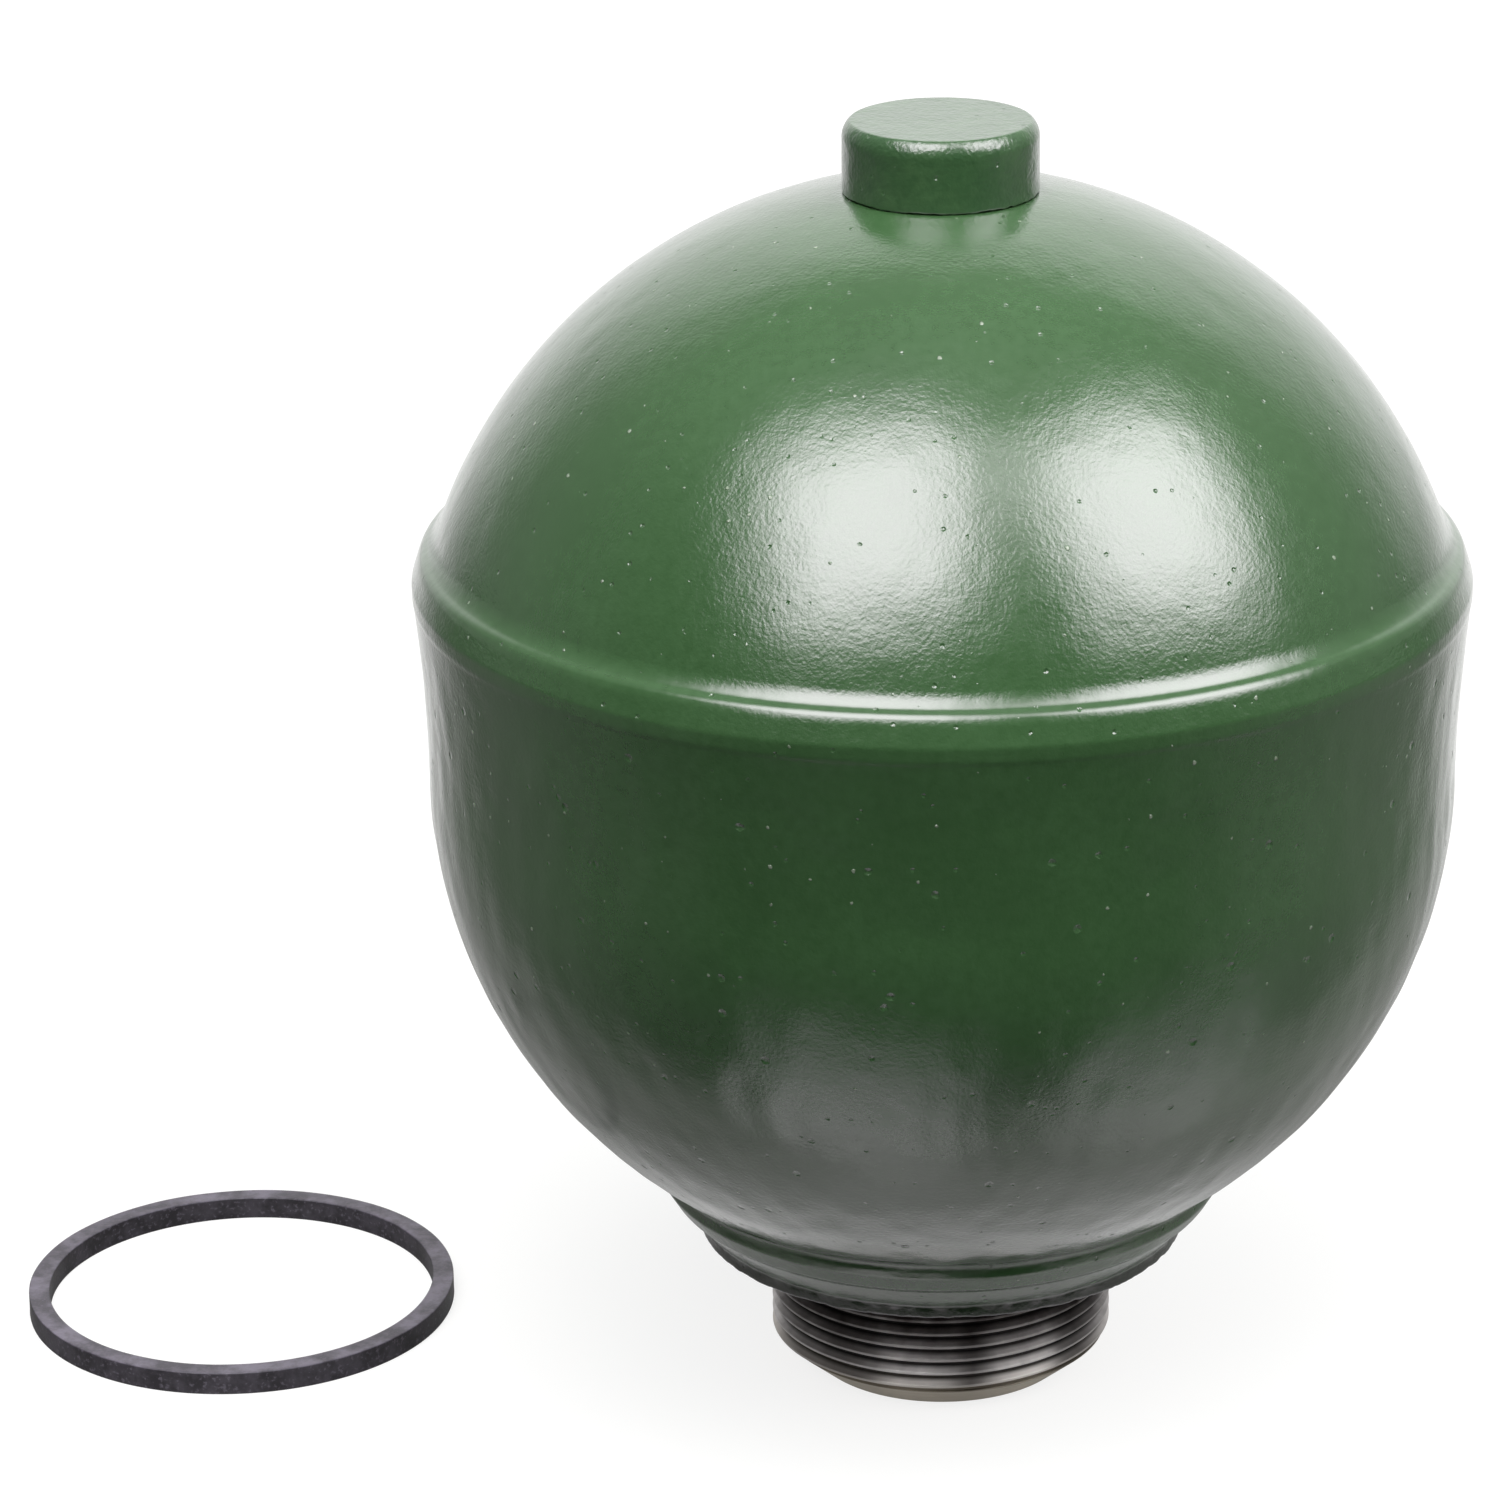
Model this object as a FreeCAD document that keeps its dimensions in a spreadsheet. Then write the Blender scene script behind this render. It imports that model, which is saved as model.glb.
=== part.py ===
import FreeCAD, Part
import os
import Sketcher

# A hydropneumatic accumulator. Two pressed steel shells meet at a rolled rim and hold a rubber diaphragm
# between them, with nitrogen above it and oil below. The oil comes in through a turned neck with an
# M36 x 1.5 thread, past a damper valve of drilled ports and thin spring leaves. The gas side is filled at
# the top, through a screw plug under a cap. The square section sealing ring lies beside the accumulator.
#
# The origin is the centre of the seat face, where the thread meets the collar, and +Z points up to the cap.
# Lengths are in millimetres and angles in degrees.

SIZES = [
    ("fit_gap", 0.1, "gap where one turned piece locates in another"),
    ("thread_radius", 18.0, "major radius of the M36 x 1.5 thread"),
    ("thread_length", 15.6, "seat face to the end of the neck"),
    ("lead_angle", 50.0, "lead-in cone, from the axis"),
    ("lead_round", 2.0, "rounding between the lead-in cone and the thread"),
    ("seat_radius", 25.5, "outside of the seat collar"),
    ("seat_height", 1.3, "straight side of the seat collar"),
    ("seat_edge", 0.8, "rounding of the seat collar's lower edge"),
    ("flare_angle", 45.0, "cone from the seat collar out to the neck, from the axis"),
    ("flare_height", 3.3, "height of that cone"),
    ("neck_height", 7.25, "seat face to the bowl"),
    ("neck_edge", 1.0, "rounding at the top of the flare"),
    ("spigot_radius", 24.0, "hole in the bowl that the neck's spigot fills"),
    ("bore_radius", 11.5, "bore that holds the damper"),
    ("bore_chamfer", 0.8, "chamfer at the mouth of the bore"),
    ("end_width", 2.3, "end of the neck, from the bore to the lead-in cone"),
    ("damper_seat", 1.0, "shoulder above the damper, from the seat face"),
    ("shoulder_width", 1.7, "width of that shoulder, round the space above the damper"),
    ("port_wall", 1.8, "wall round the port, under the button"),
    ("port_radius", 5.5, "port into the oil side"),
    ("groove_depth", 1.0, "retaining ring's groove"),
    ("bowl_radius", 52.8, "outside of the bowl"),
    ("bowl_wall", 4.5, "wall of the bowl"),
    ("bowl_flare", 1.0, "how far the bowl widens from its centre to the band"),
    ("bowl_straight", 12.5, "straight bore from the bowl's centre to the bead seat"),
    ("band_step", 0.2, "step at the band's lower edge"),
    ("band_height", 5.4, "height of the rim band"),
    ("rim_round", 7.6, "rolled outside of the rim"),
    ("rim_round_height", 4.5, "height of the rolled part of the rim"),
    ("lip_edge", 0.25, "rounding of the rim's top edge"),
    ("rim_wall", 2.2, "wall of the rim round the socket for the upper shell"),
    ("dome_swell", 2.9, "how much larger the dome's radius is than its skirt's"),
    ("dome_wall", 4.0, "wall of the dome"),
    ("skirt_wall", 4.0, "wall of the dome's skirt"),
    ("skirt_length", 7.0, "end of the skirt to the edge of the dome"),
    ("bead_height", 3.0, "diaphragm's bead"),
    ("bead_gap", 0.3, "radial gap round the rubber bead"),
    ("clamp_height", 2.0, "clamp ring above the bead"),
    ("rib_depth", 0.8, "rib of the clamp ring that grips the bead"),
    ("rib_width", 0.8, "width of that rib"),
    ("diaphragm_gap", 0.4, "diaphragm to the wall of the bowl"),
    ("diaphragm_wall", 2.0, "rubber of the diaphragm"),
    ("rest_gap", 0.3, "diaphragm and button above the port's face"),
    ("pad_radius", 12.0, "thick pad round the button"),
    ("pad_height", 4.4, "height of that pad"),
    ("button_radius", 9.0, "button that closes the port"),
    ("button_thickness", 1.6, "thickness of the button"),
    ("button_edge", 0.5, "rounding of the button's lower edge"),
    ("stem_radius", 2.5, "stem of the button"),
    ("stem_height", 1.0, "height of that stem"),
    ("button_gap", 0.3, "button to the rubber round it"),
    ("filler_hole_radius", 7.0, "hole in the top of the dome"),
    ("filler_reach", 1.0, "how far the filler boss stands into the dome"),
    ("filler_flange", 2.0, "flange of the filler boss"),
    ("cap_radius", 9.9, "outside of the filler cap"),
    ("cap_room", 0.3, "space over the filler screw, under the cap"),
    ("cap_wall", 1.5, "side wall of the filler cap"),
    ("cap_roof", 1.6, "top wall of the filler cap"),
    ("cap_edge", 1.5, "rounding of the cap's top edge"),
    ("cap_margin", 0.3, "spot face beyond the cap"),
    ("screw_radius", 4.0, "filler screw"),
    ("screw_length", 9.0, "filler screw below its head"),
    ("screw_head_radius", 6.2, "head of the filler screw"),
    ("screw_head_height", 2.6, "height of that head"),
    ("screw_flats", 4.0, "hexagon socket of the filler screw, across flats"),
    ("socket_depth", 1.8, "depth of that socket"),
    ("seal_thickness", 0.8, "sealing washer under the filler screw"),
    ("damper_height", 6.0, "damper body"),
    ("bolt_radius", 2.0, "bolt through the damper"),
    ("bolt_gap", 0.05, "radial gap round a bolt or screw in its hole"),
    ("bolt_head_radius", 3.6, "head of the damper bolt"),
    ("bolt_head_height", 2.2, "height of that head"),
    ("bolt_end", 0.6, "bolt beyond its nut"),
    ("bleed_radius", 0.6, "bleed hole through the bolt"),
    ("nut_flats", 7.0, "nut across flats"),
    ("nut_height", 2.4, "height of the nut"),
    ("port_inset", 5.1, "circle of damper ports, in from the bore"),
    ("damper_port_radius", 1.1, "damper port"),
    ("port_pairs", 4, "damper ports that each face covers"),
    ("slot_reach", 1.3, "how far the slots that feed the open ports reach past the leaves"),
    ("slot_depth", 1.2, "depth of those slots"),
    ("leaf_overlap", 0.5, "how far the largest spring leaf reaches past the ports"),
    ("leaf_step", 1.3, "how much smaller each leaf is than the one under it"),
    ("leaf_thickness", 0.25, "one spring leaf"),
    ("spacer_radius", 3.6, "spacer over the leaves"),
    ("spacer_height", 0.7, "height of that spacer"),
    ("stop_radius", 7.0, "stop washer over the spacer"),
    ("stop_thickness", 0.7, "stop washer"),
    ("stop_dish", 0.5, "how far the stop washer's edge stands off"),
    ("clip_thickness", 1.2, "retaining ring"),
    ("clip_width", 2.0, "radial width of the retaining ring"),
    ("clip_opening", 40.0, "angle of the retaining ring's opening"),
    ("lug_radius", 1.3, "lug of the retaining ring"),
    ("lug_hole_radius", 0.6, "hole in that lug"),
    ("seal_clearance", 2.9, "radial gap between the sealing ring and the thread"),
    ("seal_width", 2.3, "radial width of the sealing ring"),
    ("seal_height", 2.5, "height of the sealing ring"),
    ("seal_edge", 0.15, "rounding of the sealing ring's edges"),
    ("seal_left", 76.5, "sealing ring's centre, to the left of the axis"),
    ("seal_behind", 10.7, "sealing ring's centre, behind the axis"),
]
LEAF_COUNT = 3

# heights and radii that follow from the sizes, from the neck upwards
neck_end = "(-size.thread_length)"
lead_end_radius = "(size.bore_radius + size.end_width)"
lead_top = f"({neck_end} + (size.thread_radius - {lead_end_radius}) / tan(size.lead_angle))"
chamber_radius = "(size.bore_radius - size.shoulder_width)"
flare_top = "(size.seat_height + size.flare_height)"
neck_radius = "(size.seat_radius + size.flare_height * tan(size.flare_angle))"
bowl_centre = f"(size.neck_height + sqrt(size.bowl_radius^2 - {neck_radius}^2))"
bowl_inside = "(size.bowl_radius - size.bowl_wall)"
port_face = f"({bowl_centre} - sqrt({bowl_inside}^2 - size.spigot_radius^2))"
chamber_top = f"({port_face} - size.port_wall)"
bead_seat = f"({bowl_centre} + size.bowl_straight)"
bead_top = f"({bead_seat} + size.bead_height)"
skirt_end = f"({bead_top} + size.clamp_height)"
rim_top = f"({skirt_end} + size.skirt_length)"
band_foot = f"({rim_top} - size.band_height)"
band_foot_radius = "(size.bowl_radius + size.bowl_flare)"
rim_radius = f"({band_foot_radius} + size.band_step)"
lip_radius = f"({rim_radius} - size.rim_round + sqrt(size.rim_round^2 - size.rim_round_height^2))"
socket_radius = f"({rim_radius} - size.rim_wall)"
skirt_radius = f"({socket_radius} - size.fit_gap)"
skirt_inside = f"({skirt_radius} - size.skirt_wall)"
dome_radius = f"({skirt_radius} + size.dome_swell)"
dome_centre = f"({rim_top} - sqrt({dome_radius}^2 - {skirt_radius}^2))"
dome_inside = f"({dome_radius} - size.dome_wall)"
spot_radius = "(size.cap_radius + size.cap_margin)"
spot_face = f"({dome_centre} + sqrt({dome_radius}^2 - {spot_radius}^2))"
dome_crown = f"({dome_centre} + sqrt({dome_inside}^2 - size.filler_hole_radius^2))"
boss_top = f"({spot_face} + size.filler_flange)"
screw_seat = f"({boss_top} + size.seal_thickness)"
screw_top = f"({screw_seat} + size.screw_head_height)"
rib_middle = f"(({bowl_inside} + {skirt_radius}) / 2)"
rib_inner = f"({rib_middle} - size.rib_width / 2)"
rib_outer = f"({rib_middle} + size.rib_width / 2)"
rest_face = f"({port_face} + size.rest_gap)"
damper_foot = "(size.damper_seat - size.damper_height)"
bolt_hole = "(size.bolt_radius + size.bolt_gap)"
leaves = f"({LEAF_COUNT} * size.leaf_thickness)"
stack = f"({leaves} + size.spacer_height + size.stop_thickness + size.stop_dish)"
port_circle = "(size.bore_radius - size.port_inset)"
leaf_radius = f"({port_circle} + size.damper_port_radius + size.leaf_overlap)"
slot_end = f"({leaf_radius} + size.slot_reach)"
clip_radius = "(size.bore_radius + size.groove_depth - size.fit_gap)"
seal_inside = "(size.thread_radius + size.seal_clearance)"
seal_outside = f"({seal_inside} + size.seal_width)"

# an arc on the way round an outline bends to the left or to the right
LEFT, RIGHT = 1, -1

doc = FreeCAD.newDocument("accumulator")


def make_sheet():
    sheet = doc.addObject("Spreadsheet::Sheet", "size")
    for row, (name, value, note) in enumerate(SIZES, start=1):
        sheet.set(f"A{row}", name)
        sheet.set(f"B{row}", str(value))
        sheet.setAlias(f"B{row}", name)
        sheet.set(f"C{row}", note)
    doc.recompute()


def new_body(name):
    body = doc.addObject("PartDesign::Body", name)
    body.Label = name
    return body


def read(body, expression):
    return float(body.evalExpression(expression))


def origin_part(body, role):
    return next(part for part in body.Origin.OriginFeatures if part.Role == role)


def new_sketch(body, name, height=None):
    """A sketch in the upright XZ plane, or in the level plane at this height."""
    sketch = body.newObject("Sketcher::SketchObject", name)
    plane = origin_part(body, "XY_Plane" if height else "XZ_Plane")
    sketch.AttachmentSupport = (plane, [""])
    sketch.MapMode = "FlatFace"
    if height:
        sketch.setExpression("AttachmentOffset.Base.z", height)
    return sketch


def bind(sketch, kind, name, places, expression, value):
    index = sketch.addConstraint(Sketcher.Constraint(kind, *places, value))
    sketch.renameConstraint(index, name)
    sketch.setExpression(f"Constraints.{name}", expression)


def arc_between(start, end, radius, bend):
    """The short arc from start to end, and its first point going anticlockwise."""
    half = (end - start) * 0.5
    across = FreeCAD.Vector(-half.y, half.x, 0).normalize() * bend
    centre = start + half + across * max(radius**2 - half.Length**2, 0.0) ** 0.5
    circle = Part.Circle(centre, FreeCAD.Vector(0, 0, 1), radius)
    first, last = (start, end) if bend == LEFT else (end, start)
    return Part.ArcOfCircle(circle, circle.parameter(first), circle.parameter(last))


def draw_outline(sketch, corners):
    """Draw a closed outline. A corner is (across, up), or (across, up, radius, bend) to start an arc."""
    body = sketch.getParentGeoFeatureGroup()
    points = [FreeCAD.Vector(read(body, corner[0]), read(body, corner[1]), 0) for corner in corners]
    starts = []
    for number, corner in enumerate(corners):
        here, there = points[number], points[(number + 1) % len(points)]
        if len(corner) == 2:
            sketch.addGeometry(Part.LineSegment(here, there))
            starts.append(1)
            continue
        radius, bend = corner[2:]
        size = read(body, radius)
        sketch.addGeometry(arc_between(here, there, size, bend))
        bind(sketch, "Radius", f"radius_{number}", (number,), radius, size)
        starts.append(1 if bend == LEFT else 2)
    for number, (corner, point) in enumerate(zip(corners, points)):
        before = (number - 1) % len(corners)
        joint = Sketcher.Constraint("Coincident", before, 3 - starts[before], number, starts[number])
        sketch.addConstraint(joint)
        spot = (-1, 1, number, starts[number])
        bind(sketch, "DistanceX", f"across_{number}", spot, corner[0], point.x)
        bind(sketch, "DistanceY", f"up_{number}", spot, corner[1], point.y)


def draw_circle(sketch, across, up, radius):
    body = sketch.getParentGeoFeatureGroup()
    x, y, size = (read(body, expression) for expression in (across, up, radius))
    upright = FreeCAD.Vector(0, 0, 1)
    number = sketch.addGeometry(Part.Circle(FreeCAD.Vector(x, y, 0), upright, size))
    bind(sketch, "Radius", f"radius_{number}", (number,), radius, size)
    bind(sketch, "DistanceX", f"across_{number}", (-1, 1, number, 3), across, x)
    bind(sketch, "DistanceY", f"up_{number}", (-1, 1, number, 3), up, y)


def hexagon(flats):
    """The six corners of a hexagon with this size across its flats."""
    return [
        (f"{flats} / sqrt(3) * cos({turn})", f"{flats} / sqrt(3) * sin({turn})")
        for turn in range(0, 360, 60)
    ]


def turned(body, name, corners, cut=False):
    """Turn an outline about the body's axis, as new metal or as a cut."""
    sketch = new_sketch(body, f"{name}_outline")
    draw_outline(sketch, corners)
    feature = body.newObject("PartDesign::Groove" if cut else "PartDesign::Revolution", name)
    feature.Profile = sketch
    feature.ReferenceAxis = (sketch, ["V_Axis"])
    feature.Angle = 360
    return feature


def cut_down(body, sketch, name, depth=None, upwards=False):
    """Cut a sketch down to a depth, or right through, or upwards from the sketch."""
    pocket = body.newObject("PartDesign::Pocket", name)
    pocket.Profile = sketch
    pocket.Reversed = upwards
    if depth:
        pocket.setExpression("Length", depth)
    else:
        pocket.Type = "ThroughAll"
    return pocket


def repeat_round(body, feature, name, count):
    pattern = body.newObject("PartDesign::PolarPattern", name)
    pattern.Originals = [feature]
    pattern.Axis = (origin_part(body, "Z_Axis"), [""])
    pattern.Angle = 360
    pattern.setExpression("Occurrences", count)
    body.Tip = pattern
    return pattern


def ease_edges(body, name, kind, rims, size):
    """Fillet or chamfer the round edges at these (radius, height) places."""
    doc.recompute()
    base = body.Tip
    wanted = [(read(body, radius), read(body, height)) for radius, height in rims]
    names = []
    for number, edge in enumerate(base.Shape.Edges, start=1):
        if not isinstance(edge.Curve, Part.Circle):
            continue
        found = edge.Curve.Radius, edge.Curve.Center.z
        if any(abs(found[0] - rim[0]) + abs(found[1] - rim[1]) < 1e-4 for rim in wanted):
            names.append(f"Edge{number}")
    feature = body.newObject(f"PartDesign::{kind}", name)
    feature.Base = (base, names)
    feature.setExpression("Radius" if kind == "Fillet" else "Size", size)
    return feature


def washer(name, inner, outer, low, high):
    body = new_body(name)
    turned(body, "ring", [(inner, low), (outer, low), (outer, high), (inner, high)])
    return body


def threaded_neck():
    """The turned neck: seat collar, thread, bore for the damper and port into the oil side."""
    body = new_body("threaded_neck")
    spigot = "(size.spigot_radius - size.fit_gap)"
    turned(body, "turned_blank", [
        ("size.bore_radius", neck_end),
        (lead_end_radius, neck_end),
        ("size.thread_radius", lead_top),
        ("size.thread_radius", "0"),
        ("size.seat_radius", "0"),
        ("size.seat_radius", "size.seat_height"),
        (neck_radius, flare_top),
        (neck_radius, "size.neck_height"),
        (spigot, "size.neck_height"),
        (spigot, port_face),
        ("size.port_radius", port_face),
        ("size.port_radius", chamber_top),
        (chamber_radius, chamber_top),
        (chamber_radius, "size.damper_seat"),
        ("size.bore_radius", "size.damper_seat"),
    ])
    groove = "(size.bore_radius + size.groove_depth)"
    groove_foot = f"({damper_foot} - size.clip_thickness - size.fit_gap)"
    turned(body, "clip_groove", [
        (chamber_radius, groove_foot),
        (groove, groove_foot),
        (groove, damper_foot),
        (chamber_radius, damper_foot),
    ], cut=True)
    ease_edges(body, "bore_mouth", "Chamfer", [("size.bore_radius", neck_end)], "size.bore_chamfer")
    ease_edges(body, "lead_rounding", "Fillet", [("size.thread_radius", lead_top)], "size.lead_round")
    ease_edges(body, "seat_rounding", "Fillet", [("size.seat_radius", "0")], "size.seat_edge")
    ease_edges(body, "neck_rounding", "Fillet", [(neck_radius, flare_top)], "size.neck_edge")
    return body


def lower_shell():
    """The bowl of the oil side, with the rolled rim band and the socket for the dome."""
    body = new_body("lower_shell")
    straight = f"({band_foot} - {bowl_centre})"
    flare_round = f"(({straight}^2 + size.bowl_flare^2) / (2 * size.bowl_flare))"
    turned(body, "pressing", [
        ("size.spigot_radius", "size.neck_height"),
        (neck_radius, "size.neck_height", "size.bowl_radius", LEFT),
        ("size.bowl_radius", bowl_centre, flare_round, RIGHT),
        (band_foot_radius, band_foot),
        (rim_radius, f"({band_foot} + size.band_step)"),
        (rim_radius, f"({rim_top} - size.rim_round_height)", "size.rim_round", LEFT),
        (lip_radius, rim_top),
        (socket_radius, rim_top),
        (socket_radius, bead_seat),
        (bowl_inside, bead_seat),
        (bowl_inside, bowl_centre, bowl_inside, RIGHT),
        ("size.spigot_radius", port_face),
    ])
    ease_edges(body, "lip_rounding", "Fillet", [(lip_radius, rim_top)], "size.lip_edge")
    return body


def upper_shell():
    """The dome of the gas side, with the skirt that fits the rim and the spot face round its filler hole."""
    body = new_body("upper_shell")
    skirt_top = f"({dome_centre} + sqrt({dome_inside}^2 - {skirt_inside}^2))"
    turned(body, "pressing", [
        ("size.filler_hole_radius", spot_face),
        (spot_radius, spot_face, dome_radius, RIGHT),
        (skirt_radius, rim_top),
        (skirt_radius, skirt_end),
        (skirt_inside, skirt_end),
        (skirt_inside, skirt_top, dome_inside, LEFT),
        ("size.filler_hole_radius", dome_crown),
    ])
    return body


def clamp_ring():
    """The steel ring that presses the diaphragm's bead on its seat, with a rib that grips the rubber."""
    body = new_body("clamp_ring")
    rib_foot = f"({bead_top} - size.rib_depth)"
    turned(body, "ring", [
        (bowl_inside, bead_top),
        (rib_inner, bead_top),
        (rib_inner, rib_foot),
        (rib_outer, rib_foot),
        (rib_outer, bead_top),
        (skirt_radius, bead_top),
        (skirt_radius, skirt_end),
        (bowl_inside, skirt_end),
    ])
    return body


def diaphragm():
    """The moulded rubber cup at rest in the bowl, with its bead at the rim and a pad round the button."""
    body = new_body("diaphragm")
    outside = f"({bowl_inside} - size.diaphragm_gap)"
    inside = f"({outside} - size.diaphragm_wall)"
    floor = f"({rest_face} + size.diaphragm_wall)"
    flat_radius = f"sqrt({outside}^2 - ({bowl_centre} - {rest_face})^2)"
    floor_radius = f"sqrt({inside}^2 - ({bowl_centre} - {floor})^2)"
    pocket_radius = "(size.button_radius + size.button_gap)"
    pocket_top = f"({rest_face} + size.button_thickness + size.button_gap)"
    stem_hole = "(size.stem_radius + size.button_gap)"
    bead_radius = f"({socket_radius} - size.bead_gap)"
    groove_foot = f"({bead_top} - size.rib_depth - size.fit_gap)"
    turned(body, "moulding", [
        (pocket_radius, rest_face),
        (flat_radius, rest_face, outside, LEFT),
        (outside, bowl_centre),
        (outside, bead_seat),
        (bead_radius, bead_seat),
        (bead_radius, bead_top),
        (f"({rib_outer} + size.fit_gap)", bead_top),
        (f"({rib_outer} + size.fit_gap)", groove_foot),
        (f"({rib_inner} - size.fit_gap)", groove_foot),
        (f"({rib_inner} - size.fit_gap)", bead_top),
        (inside, bead_top),
        (inside, bowl_centre, inside, RIGHT),
        (floor_radius, floor),
        ("size.pad_radius", floor),
        ("size.pad_radius", f"({rest_face} + size.pad_height)"),
        ("0", f"({rest_face} + size.pad_height)"),
        ("0", f"({pocket_top} + size.stem_height)"),
        (stem_hole, f"({pocket_top} + size.stem_height)"),
        (stem_hole, pocket_top),
        (pocket_radius, pocket_top),
    ])
    return body


def diaphragm_button():
    """The steel button in the diaphragm, which closes the port before the rubber can be pushed into it."""
    body = new_body("diaphragm_button")
    disc_top = f"({rest_face} + size.button_thickness)"
    stem_top = f"({disc_top} + size.stem_height)"
    turned(body, "disc", [
        ("0", rest_face),
        ("size.button_radius", rest_face),
        ("size.button_radius", disc_top),
        ("size.stem_radius", disc_top),
        ("size.stem_radius", stem_top),
        ("0", stem_top),
    ])
    ease_edges(body, "rounding", "Fillet", [("size.button_radius", rest_face)], "size.button_edge")
    return body


def filler_boss():
    """The threaded bush in the top of the dome."""
    body = new_body("filler_boss")
    spigot = "(size.filler_hole_radius - size.fit_gap)"
    foot = f"({dome_crown} - size.filler_reach)"
    flange_radius = "(size.cap_radius - size.cap_wall - size.fit_gap)"
    bore = "(size.screw_radius + size.bolt_gap)"
    turned(body, "bush", [
        (bore, foot),
        (spigot, foot),
        (spigot, spot_face),
        (flange_radius, spot_face),
        (flange_radius, boss_top),
        (bore, boss_top),
    ])
    return body


def filler_seal():
    bore = "(size.screw_radius + size.fit_gap)"
    return washer("filler_seal", bore, "size.screw_head_radius", boss_top, screw_seat)


def filler_screw():
    """The screw plug that keeps the gas in, with a hexagon socket in its head."""
    body = new_body("filler_screw")
    foot = f"({screw_seat} - size.screw_length)"
    turned(body, "blank", [
        ("0", foot),
        ("size.screw_radius", foot),
        ("size.screw_radius", screw_seat),
        ("size.screw_head_radius", screw_seat),
        ("size.screw_head_radius", screw_top),
        ("0", screw_top),
    ])
    sketch = new_sketch(body, "hexagon", screw_top)
    draw_outline(sketch, hexagon("size.screw_flats"))
    cut_down(body, sketch, "hexagon_socket", "size.socket_depth")
    ease_edges(body, "point", "Chamfer", [("size.screw_radius", foot)], "size.screw_radius / 6")
    return body


def filler_cap():
    """The cap pressed over the filler boss, which stands on the dome's spot face."""
    body = new_body("filler_cap")
    inside = "(size.cap_radius - size.cap_wall)"
    ceiling = f"({screw_top} + size.cap_room)"
    roof = f"({ceiling} + size.cap_roof)"
    turned(body, "cup", [
        (inside, spot_face),
        ("size.cap_radius", spot_face),
        ("size.cap_radius", roof),
        ("0", roof),
        ("0", ceiling),
        (inside, ceiling),
    ])
    ease_edges(body, "top_rounding", "Fillet", [("size.cap_radius", roof)], "size.cap_edge")
    return body


def damper_body():
    """The damper's body: ports right through it, and slots that feed every other port past the leaves."""
    body = new_body("damper_body")
    outside = "(size.bore_radius - size.fit_gap)"
    turned(body, "blank", [
        (bolt_hole, damper_foot),
        (outside, damper_foot),
        (outside, "size.damper_seat"),
        (bolt_hole, "size.damper_seat"),
    ])
    sketch = new_sketch(body, "port_circle", "size.damper_seat")
    draw_circle(sketch, port_circle, "0", "size.damper_port_radius")
    port = cut_down(body, sketch, "port")
    repeat_round(body, port, "ports", "2 * size.port_pairs")
    width = "size.damper_port_radius"
    slot_corner = f"sqrt({slot_end}^2 - {width}^2)"
    slot = [
        (port_circle, f"(-{width})"),
        (slot_corner, f"(-{width})", slot_end, LEFT),
        (slot_corner, width),
        (port_circle, width),
    ]
    faces = [("rebound", "size.damper_seat", False), ("compression", damper_foot, True)]
    for side, height, upwards in faces:
        sketch = new_sketch(body, f"{side}_slot_outline", height)
        draw_outline(sketch, slot)
        if upwards:
            sketch.setExpression("AttachmentOffset.Rotation.Angle", "180 / size.port_pairs")
        feed = cut_down(body, sketch, f"{side}_slot", "size.slot_depth", upwards)
        repeat_round(body, feed, f"{side}_slots", "size.port_pairs")
    return body


def damper_leaves(side, face, way):
    """The leaves, spacer and dished stop washer on one face of the damper. way is + above it and - below."""
    pieces = []
    for number in range(LEAF_COUNT):
        near = f"({face} {way} {number} * size.leaf_thickness)"
        far = f"({near} {way} size.leaf_thickness)"
        radius = f"({leaf_radius} - {number} * size.leaf_step)"
        pieces.append(washer(f"{side}_leaf_{number + 1}", bolt_hole, radius, near, far))
    spacer_near = f"({face} {way} {leaves})"
    spacer_far = f"({spacer_near} {way} size.spacer_height)"
    pieces.append(washer(f"{side}_spacer", bolt_hole, "size.spacer_radius", spacer_near, spacer_far))
    body = new_body(f"{side}_stop")
    rim_near = f"({spacer_far} {way} size.stop_dish)"
    far = f"({rim_near} {way} size.stop_thickness)"
    turned(body, "dished_washer", [
        (bolt_hole, spacer_far),
        ("size.spacer_radius", spacer_far),
        ("size.stop_radius", rim_near),
        ("size.stop_radius", far),
        (bolt_hole, far),
    ])
    return pieces + [body]


def damper_bolt():
    """The bolt that holds the leaves, with the bleed hole that always lets a little oil past."""
    body = new_body("damper_bolt")
    head_foot = f"(size.damper_seat + {stack})"
    head_top = f"({head_foot} + size.bolt_head_height)"
    foot = f"({damper_foot} - {stack} - size.nut_height - size.bolt_end)"
    turned(body, "bolt", [
        ("size.bleed_radius", foot),
        ("size.bolt_radius", foot),
        ("size.bolt_radius", head_foot),
        ("size.bolt_head_radius", head_foot),
        ("size.bolt_head_radius", head_top),
        ("size.bleed_radius", head_top),
    ])
    rim = [("size.bolt_head_radius", head_top)]
    ease_edges(body, "head_rounding", "Fillet", rim, "size.bolt_head_height / 3")
    return body


def damper_nut():
    body = new_body("damper_nut")
    face = f"({damper_foot} - {stack})"
    sketch = new_sketch(body, "hexagon", f"({face} - size.nut_height)")
    draw_outline(sketch, hexagon("size.nut_flats"))
    prism = body.newObject("PartDesign::Pad", "prism")
    prism.Profile = sketch
    prism.setExpression("Length", "size.nut_height")
    sketch = new_sketch(body, "hole", face)
    draw_circle(sketch, "0", "0", bolt_hole)
    cut_down(body, sketch, "bolt_hole")
    return body


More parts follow.
